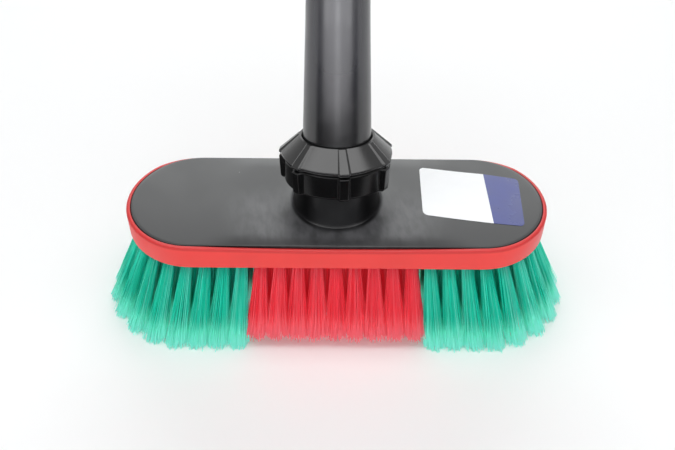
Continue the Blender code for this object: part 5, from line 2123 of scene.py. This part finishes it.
@dataclass
class Studio:
    """Pale floor, white surroundings, softboxes and the camera.

    Attributes:
        plan: the head's outline and levels.
        focal: focal length in the photograph's pixels.
        elevation: of the view.
        distance: from the camera to its aim.
        roll: of the camera.
        aim: relative to the head's middle.
        floor_size: side of the floor.
        floor_lift: how far the floor's look is lifted to white near the object.
        fade_start: distance at which it begins to fade to white.
        fade_end: distance at which it is white.
        ambient: strength of the surroundings' light.
        front_dark: how much darker gloss sees the surroundings in front.
        side_dark: the same at the sides.
        card_distance: of the dark card before the origin.
        card_height: its height.
        card_width: its width.
    """

    plan: HeadPlan
    focal: float = 818.0
    elevation: float = math.radians(44)
    distance: float = 0.475
    roll: float = math.radians(0.45)
    aim: Place = (0.0006, -0.0049, 0.060)
    floor_size: float = 12.0
    floor_lift: float = 0.05
    fade_start: float = 0.5
    fade_end: float = 1.3
    ambient: float = 0.14
    front_dark: float = 0.9
    side_dark: float = 0.3
    card_distance: float = 0.235
    card_height: float = 0.145
    card_width: float = 1.2

    def camera(self) -> None:
        """Places the camera at the photograph's viewing angle."""
        forward = Vector((0, math.cos(self.elevation), -math.sin(self.elevation)))
        right, up = Vector((1, 0, 0)), Vector((0, math.sin(self.elevation), math.cos(self.elevation)))
        turned_right = right * math.cos(self.roll) + up * math.sin(self.roll)
        turned_up = up * math.cos(self.roll) - right * math.sin(self.roll)
        data = bpy.data.cameras.new("camera")
        data.sensor_fit, data.sensor_width = "HORIZONTAL", 36.0
        data.lens = data.sensor_width * self.focal / IMAGE_WIDTH
        data.clip_start, data.clip_end = 0.01, 50.0
        camera = linked("camera", data)
        target = Vector(self.aim) + Vector((0, self.plan.middle, 0))
        rotation = Matrix((turned_right, turned_up, -forward)).transposed()
        camera.matrix_world = Matrix.Translation(target - forward * self.distance) @ rotation.to_4x4()
        bpy.context.scene.camera = camera

    def softboxes(self) -> None:
        """Area lights that face the head, each given by how bright its face looks, where 1 is white."""
        aim = Vector((0.0, self.plan.middle, 0.08))
        for name, place, size, radiance, tint in (
            ("overhead", (0.0, -0.08, 1.35), (2.3, 0.8), 2.65, (1.0, 1.0, 1.0)),
            ("back", (0.0, 1.45, 0.95), (1.8, 0.90), 2.9, (0.97, 1.0, 1.0)),
            ("front", (0.0, -1.3, 0.36), (3.2, 0.42), 3.3, (0.97, 0.97, 1.0)),
            ("front_strip", (0.0, -1.25, 0.38), (0.36, 0.40), 1.6, (0.96, 0.97, 1.0)),
        ):
            data = bpy.data.lights.new(name, "AREA")
            data.shape, data.size, data.size_y = "RECTANGLE", *size
            data.energy = radiance * math.pi * size[0] * size[1]
            data.color = tint
            light = linked(name, data)
            light.visible_camera = False
            light.location = place
            light.rotation_euler = (aim - Vector(place)).to_track_quat("-Z", "Y").to_euler()

    @staticmethod
    def seen(graph: Graph) -> Socket:
        """1 where the camera, a reflection or a clear piece looks, and 0 for the light itself.

        Args:
            graph: the graph that asks.

        Returns:
            The socket.
        """
        path = graph.add("ShaderNodeLightPath").outputs
        seen = graph.math("MAXIMUM", path["Is Camera Ray"], path["Is Glossy Ray"])
        return graph.math("MAXIMUM", seen, path["Is Transmission Ray"])

    def surroundings(self) -> None:
        """A white world of plain light, which gloss sees darker in front and at the sides."""
        world = bpy.data.worlds.new("studio")
        bpy.context.scene.world = world
        world.use_nodes = True
        graph = Graph(world.node_tree)
        world.node_tree.nodes.clear()
        seen = self.seen(graph)
        lit = graph.add("ShaderNodeBackground", {"Color": (0.97, 0.98, 1.0, 1.0), "Strength": self.ambient})
        heading = graph.axes(graph.add("ShaderNodeTexCoord").outputs["Generated"])
        front = graph.remap(graph.times(heading["Y"], -1.0), 0.70, 0.93, 0.0, self.front_dark)
        side = graph.remap(graph.math("ABSOLUTE", heading["X"]), 0.5, 0.8, 0.0, self.side_dark)
        glossy = graph.add("ShaderNodeLightPath").outputs["Is Glossy Ray"]
        strength = graph.math("SUBTRACT", 1.0, graph.times(graph.math("MAXIMUM", front, side), glossy))
        white = graph.add("ShaderNodeBackground", {"Color": WHITE, "Strength": strength})
        mixed = graph.add("ShaderNodeMixShader", {0: seen, 1: lit.outputs[0], 2: white.outputs[0]})
        graph.add("ShaderNodeOutputWorld", {"Surface": mixed.outputs[0]})

    def floor(self) -> None:
        """A pale floor that keeps the object's shadow and fades to white."""
        shell, half = Shell(), self.floor_size / 2
        shell.bm.faces.new(shell.ring([(-half, -half, 0), (half, -half, 0), (half, half, 0), (-half, half, 0)]))
        material, graph, shader = principled("pale_floor")
        place = graph.here()
        tone = graph.blend(graph.noise(place, 3.0, 3.0), (0.955, 0.955, 0.955, 1.0), (0.975, 0.975, 0.975, 1.0))
        graph.wire(shader, {"Base Color": tone, "Roughness": 0.6, "Specular IOR Level": 0.2})
        fade = graph.remap(graph.measure("LENGTH", place), self.fade_start, self.fade_end, self.floor_lift, 1.0)
        white = graph.add("ShaderNodeEmission", {"Color": WHITE, "Strength": 1.0}).outputs[0]
        feeds = {0: graph.times(self.seen(graph), fade), 1: shader.outputs[0], 2: white}
        mixed = graph.add("ShaderNodeMixShader", feeds).outputs[0]
        graph.feed(graph.tree.nodes["Material Output"].inputs["Surface"], mixed)
        shell.piece("studio_floor", material)

    def dark_card(self) -> None:
        """A low black card before the object that only its gloss sees, as in a studio."""
        shell, half = Shell(), self.card_width / 2
        low, high, y = 0.0005, self.card_height, -self.card_distance
        shell.bm.faces.new(shell.ring([(-half, y, low), (half, y, low), (half, y, high), (-half, y, high)]))
        material, graph, shader = principled("black_card")
        graph.wire(shader, {"Base Color": (0.01, 0.01, 0.01, 1.0), "Roughness": 0.9})
        card = shell.piece("studio_card", material)
        for name in ("visible_camera", "visible_diffuse", "visible_shadow", "visible_transmission"):
            setattr(card, name, False)

    def build(self) -> None:
        """Sets everything up."""
        self.camera()
        self.surroundings()
        self.floor()
        self.dark_card()
        self.softboxes()
        bpy.context.scene.view_settings.view_transform = "Standard"


def dress(finish: Finish, effects: Effects, *nodes: str) -> None:
    """Gives a finish to CAD nodes that keep their shape.

    Args:
        finish: the finish.
        effects: the shared node groups.
        nodes: the nodes' names.
    """
    material = finish.build(effects)
    for name in nodes:
        frame["nodes"][name].data.materials.clear()
        frame["nodes"][name].data.materials.append(material)
        log.info("%s keeps its shape and gets %s", name, finish.name)


def main() -> None:
    """Builds the studio, every sub-assembly and every finish."""
    logging.basicConfig(level=logging.INFO, format="%(message)s")
    effects, plan, lean = Effects(), HeadPlan(), Lean()
    axis = {"foot": tuple(lean.origin), "axis": tuple(lean.direction)}
    satin = {"spread": 0.03, "scratches": 0.8, "dust": 0.4, "grains": 1800, "relief": 0.000008}
    shade = {"reach": 0.0262, "depth": 0.9, "window": 0.0145, "painted_sheen": 0.8}
    cover_black = ShadedPlastic("moulded_black", (0.009, 0.009, 0.010), 0.31, **satin, **shade, **axis).build(effects)
    block_black = GlossPlastic("block_black", (0.012, 0.012, 0.013), 0.5, grains=900, relief=0.00004)
    smooth = {"spread": 0.02, "scratches": 0.1, "dust": 0.1, "grains": 1600, "relief": 0.00001, "gloss": 0.60}
    skirt = {"level": 0.0284, "depth": 0.5}
    nut_black = ShadedPlastic("nylon_black", (0.004, 0.004, 0.0045), 0.21, **smooth, **skirt, **axis).build(effects)
    smooth = {"spread": 0.03, "scratches": 0.15, "dust": 0.15, "grains": 1500, "relief": 0.000006, "gloss": 0.9}
    grade = {"pale": (0.030, 0.030, 0.037), "low": 0.118, "high": 0.175}
    tube_black = GradedPlastic("tube_black", (0.006, 0.006, 0.007), 0.24, **smooth, **grade).build(effects)
    lip = {"painted_lip_colour": (0.60, 0.022, 0.022), "lip_low": 0.0728, "lip_high": 0.0742}
    matt = {"grains": 1300, "relief": 0.00002, "shade": 0.05, "dip": plan.dip, "side_half": plan.side_half}
    red_rubber = Rubber("red_rubber", (0.80, 0.040, 0.034), 0.42, **matt, **lip).build(effects)
    colours = (0.0, 0.48, 0.30), (0.0, 0.73, 0.48), (0.27, 0.95, 0.78)
    green = Filament("green_filament", *colours, body_glow=0.0, tip_glow=0.17).build(effects)
    colours = (0.88, 0.022, 0.04), (0.97, 0.036, 0.06), (0.98, 0.18, 0.22)
    red = Filament("red_filament", *colours, body_glow=0.07, tip_glow=0.17).build(effects)
    steel = Finish("bright_steel", (0.60, 0.60, 0.58), 0.3, grains=3000, relief=0.00001, metallic=1.0).build(effects)
    brass = Finish("turned_brass", (0.78, 0.56, 0.25), 0.28, grains=3000, relief=0.00001, metallic=1.0).build(effects)
    fibre = Finish("pressed_fibre", (0.40, 0.09, 0.05), 0.75, grains=900, relief=0.00005, shade=0.3).build(effects)
    paper = Finish("label_paper", (0.93, 0.94, 0.95), 0.5, grains=1500, relief=0.00001, shade=0.03).build(effects)
    film = Finish("label_film", (0.045, 0.06, 0.25), 0.3, grains=1500, relief=0.00001, shade=0.2).build(effects)

    Studio(plan).build()
    cover = Cover(plan, lean)
    moulded = cover.build(cover_black)
    RubberEdge(plan).build(red_rubber)
    bristles = Bristles(plan)
    bristles.build(red, green, block_black.build(effects))
    CoverScrews(plan, bristles.screw_places()).build(steel, placed_copies_tree())
    UnionNut(lean, cover).build(nut_black, around_axis_tree())
    Handle(lean).build(tube_black, nut_black, brass, fibre)
    BlankLabel(plan).build(moulded, paper, film)

    dress(block_black, effects, "brush_block", "handle_spigot")
    seal = Finish("seal_rubber", (0.03, 0.03, 0.03), 0.7, grains=1200)
    dress(seal, effects, "cover_gasket", "flange_seal", "spigot_o_ring")
    dress(Finish("slip_acetal", (0.80, 0.80, 0.76), 0.35, grains=2000), effects, "nut_slip_ring")
    dress(Finish("hose_grey", (0.33, 0.34, 0.34), 0.45, grains=1400), effects, "water_hose")
    crimped = Finish("crimped_steel", (0.62, 0.62, 0.60), 0.35, grains=2500, metallic=1.0)
    dress(crimped, effects, "hose_ferrule_lower", "hose_ferrule_upper")
    lock = Finish("lock_brass", (0.74, 0.53, 0.24), 0.32, grains=2500, metallic=1.0)
    dress(lock, effects, "inlet_lock_nut")


if __name__ == "__main__":
    main()
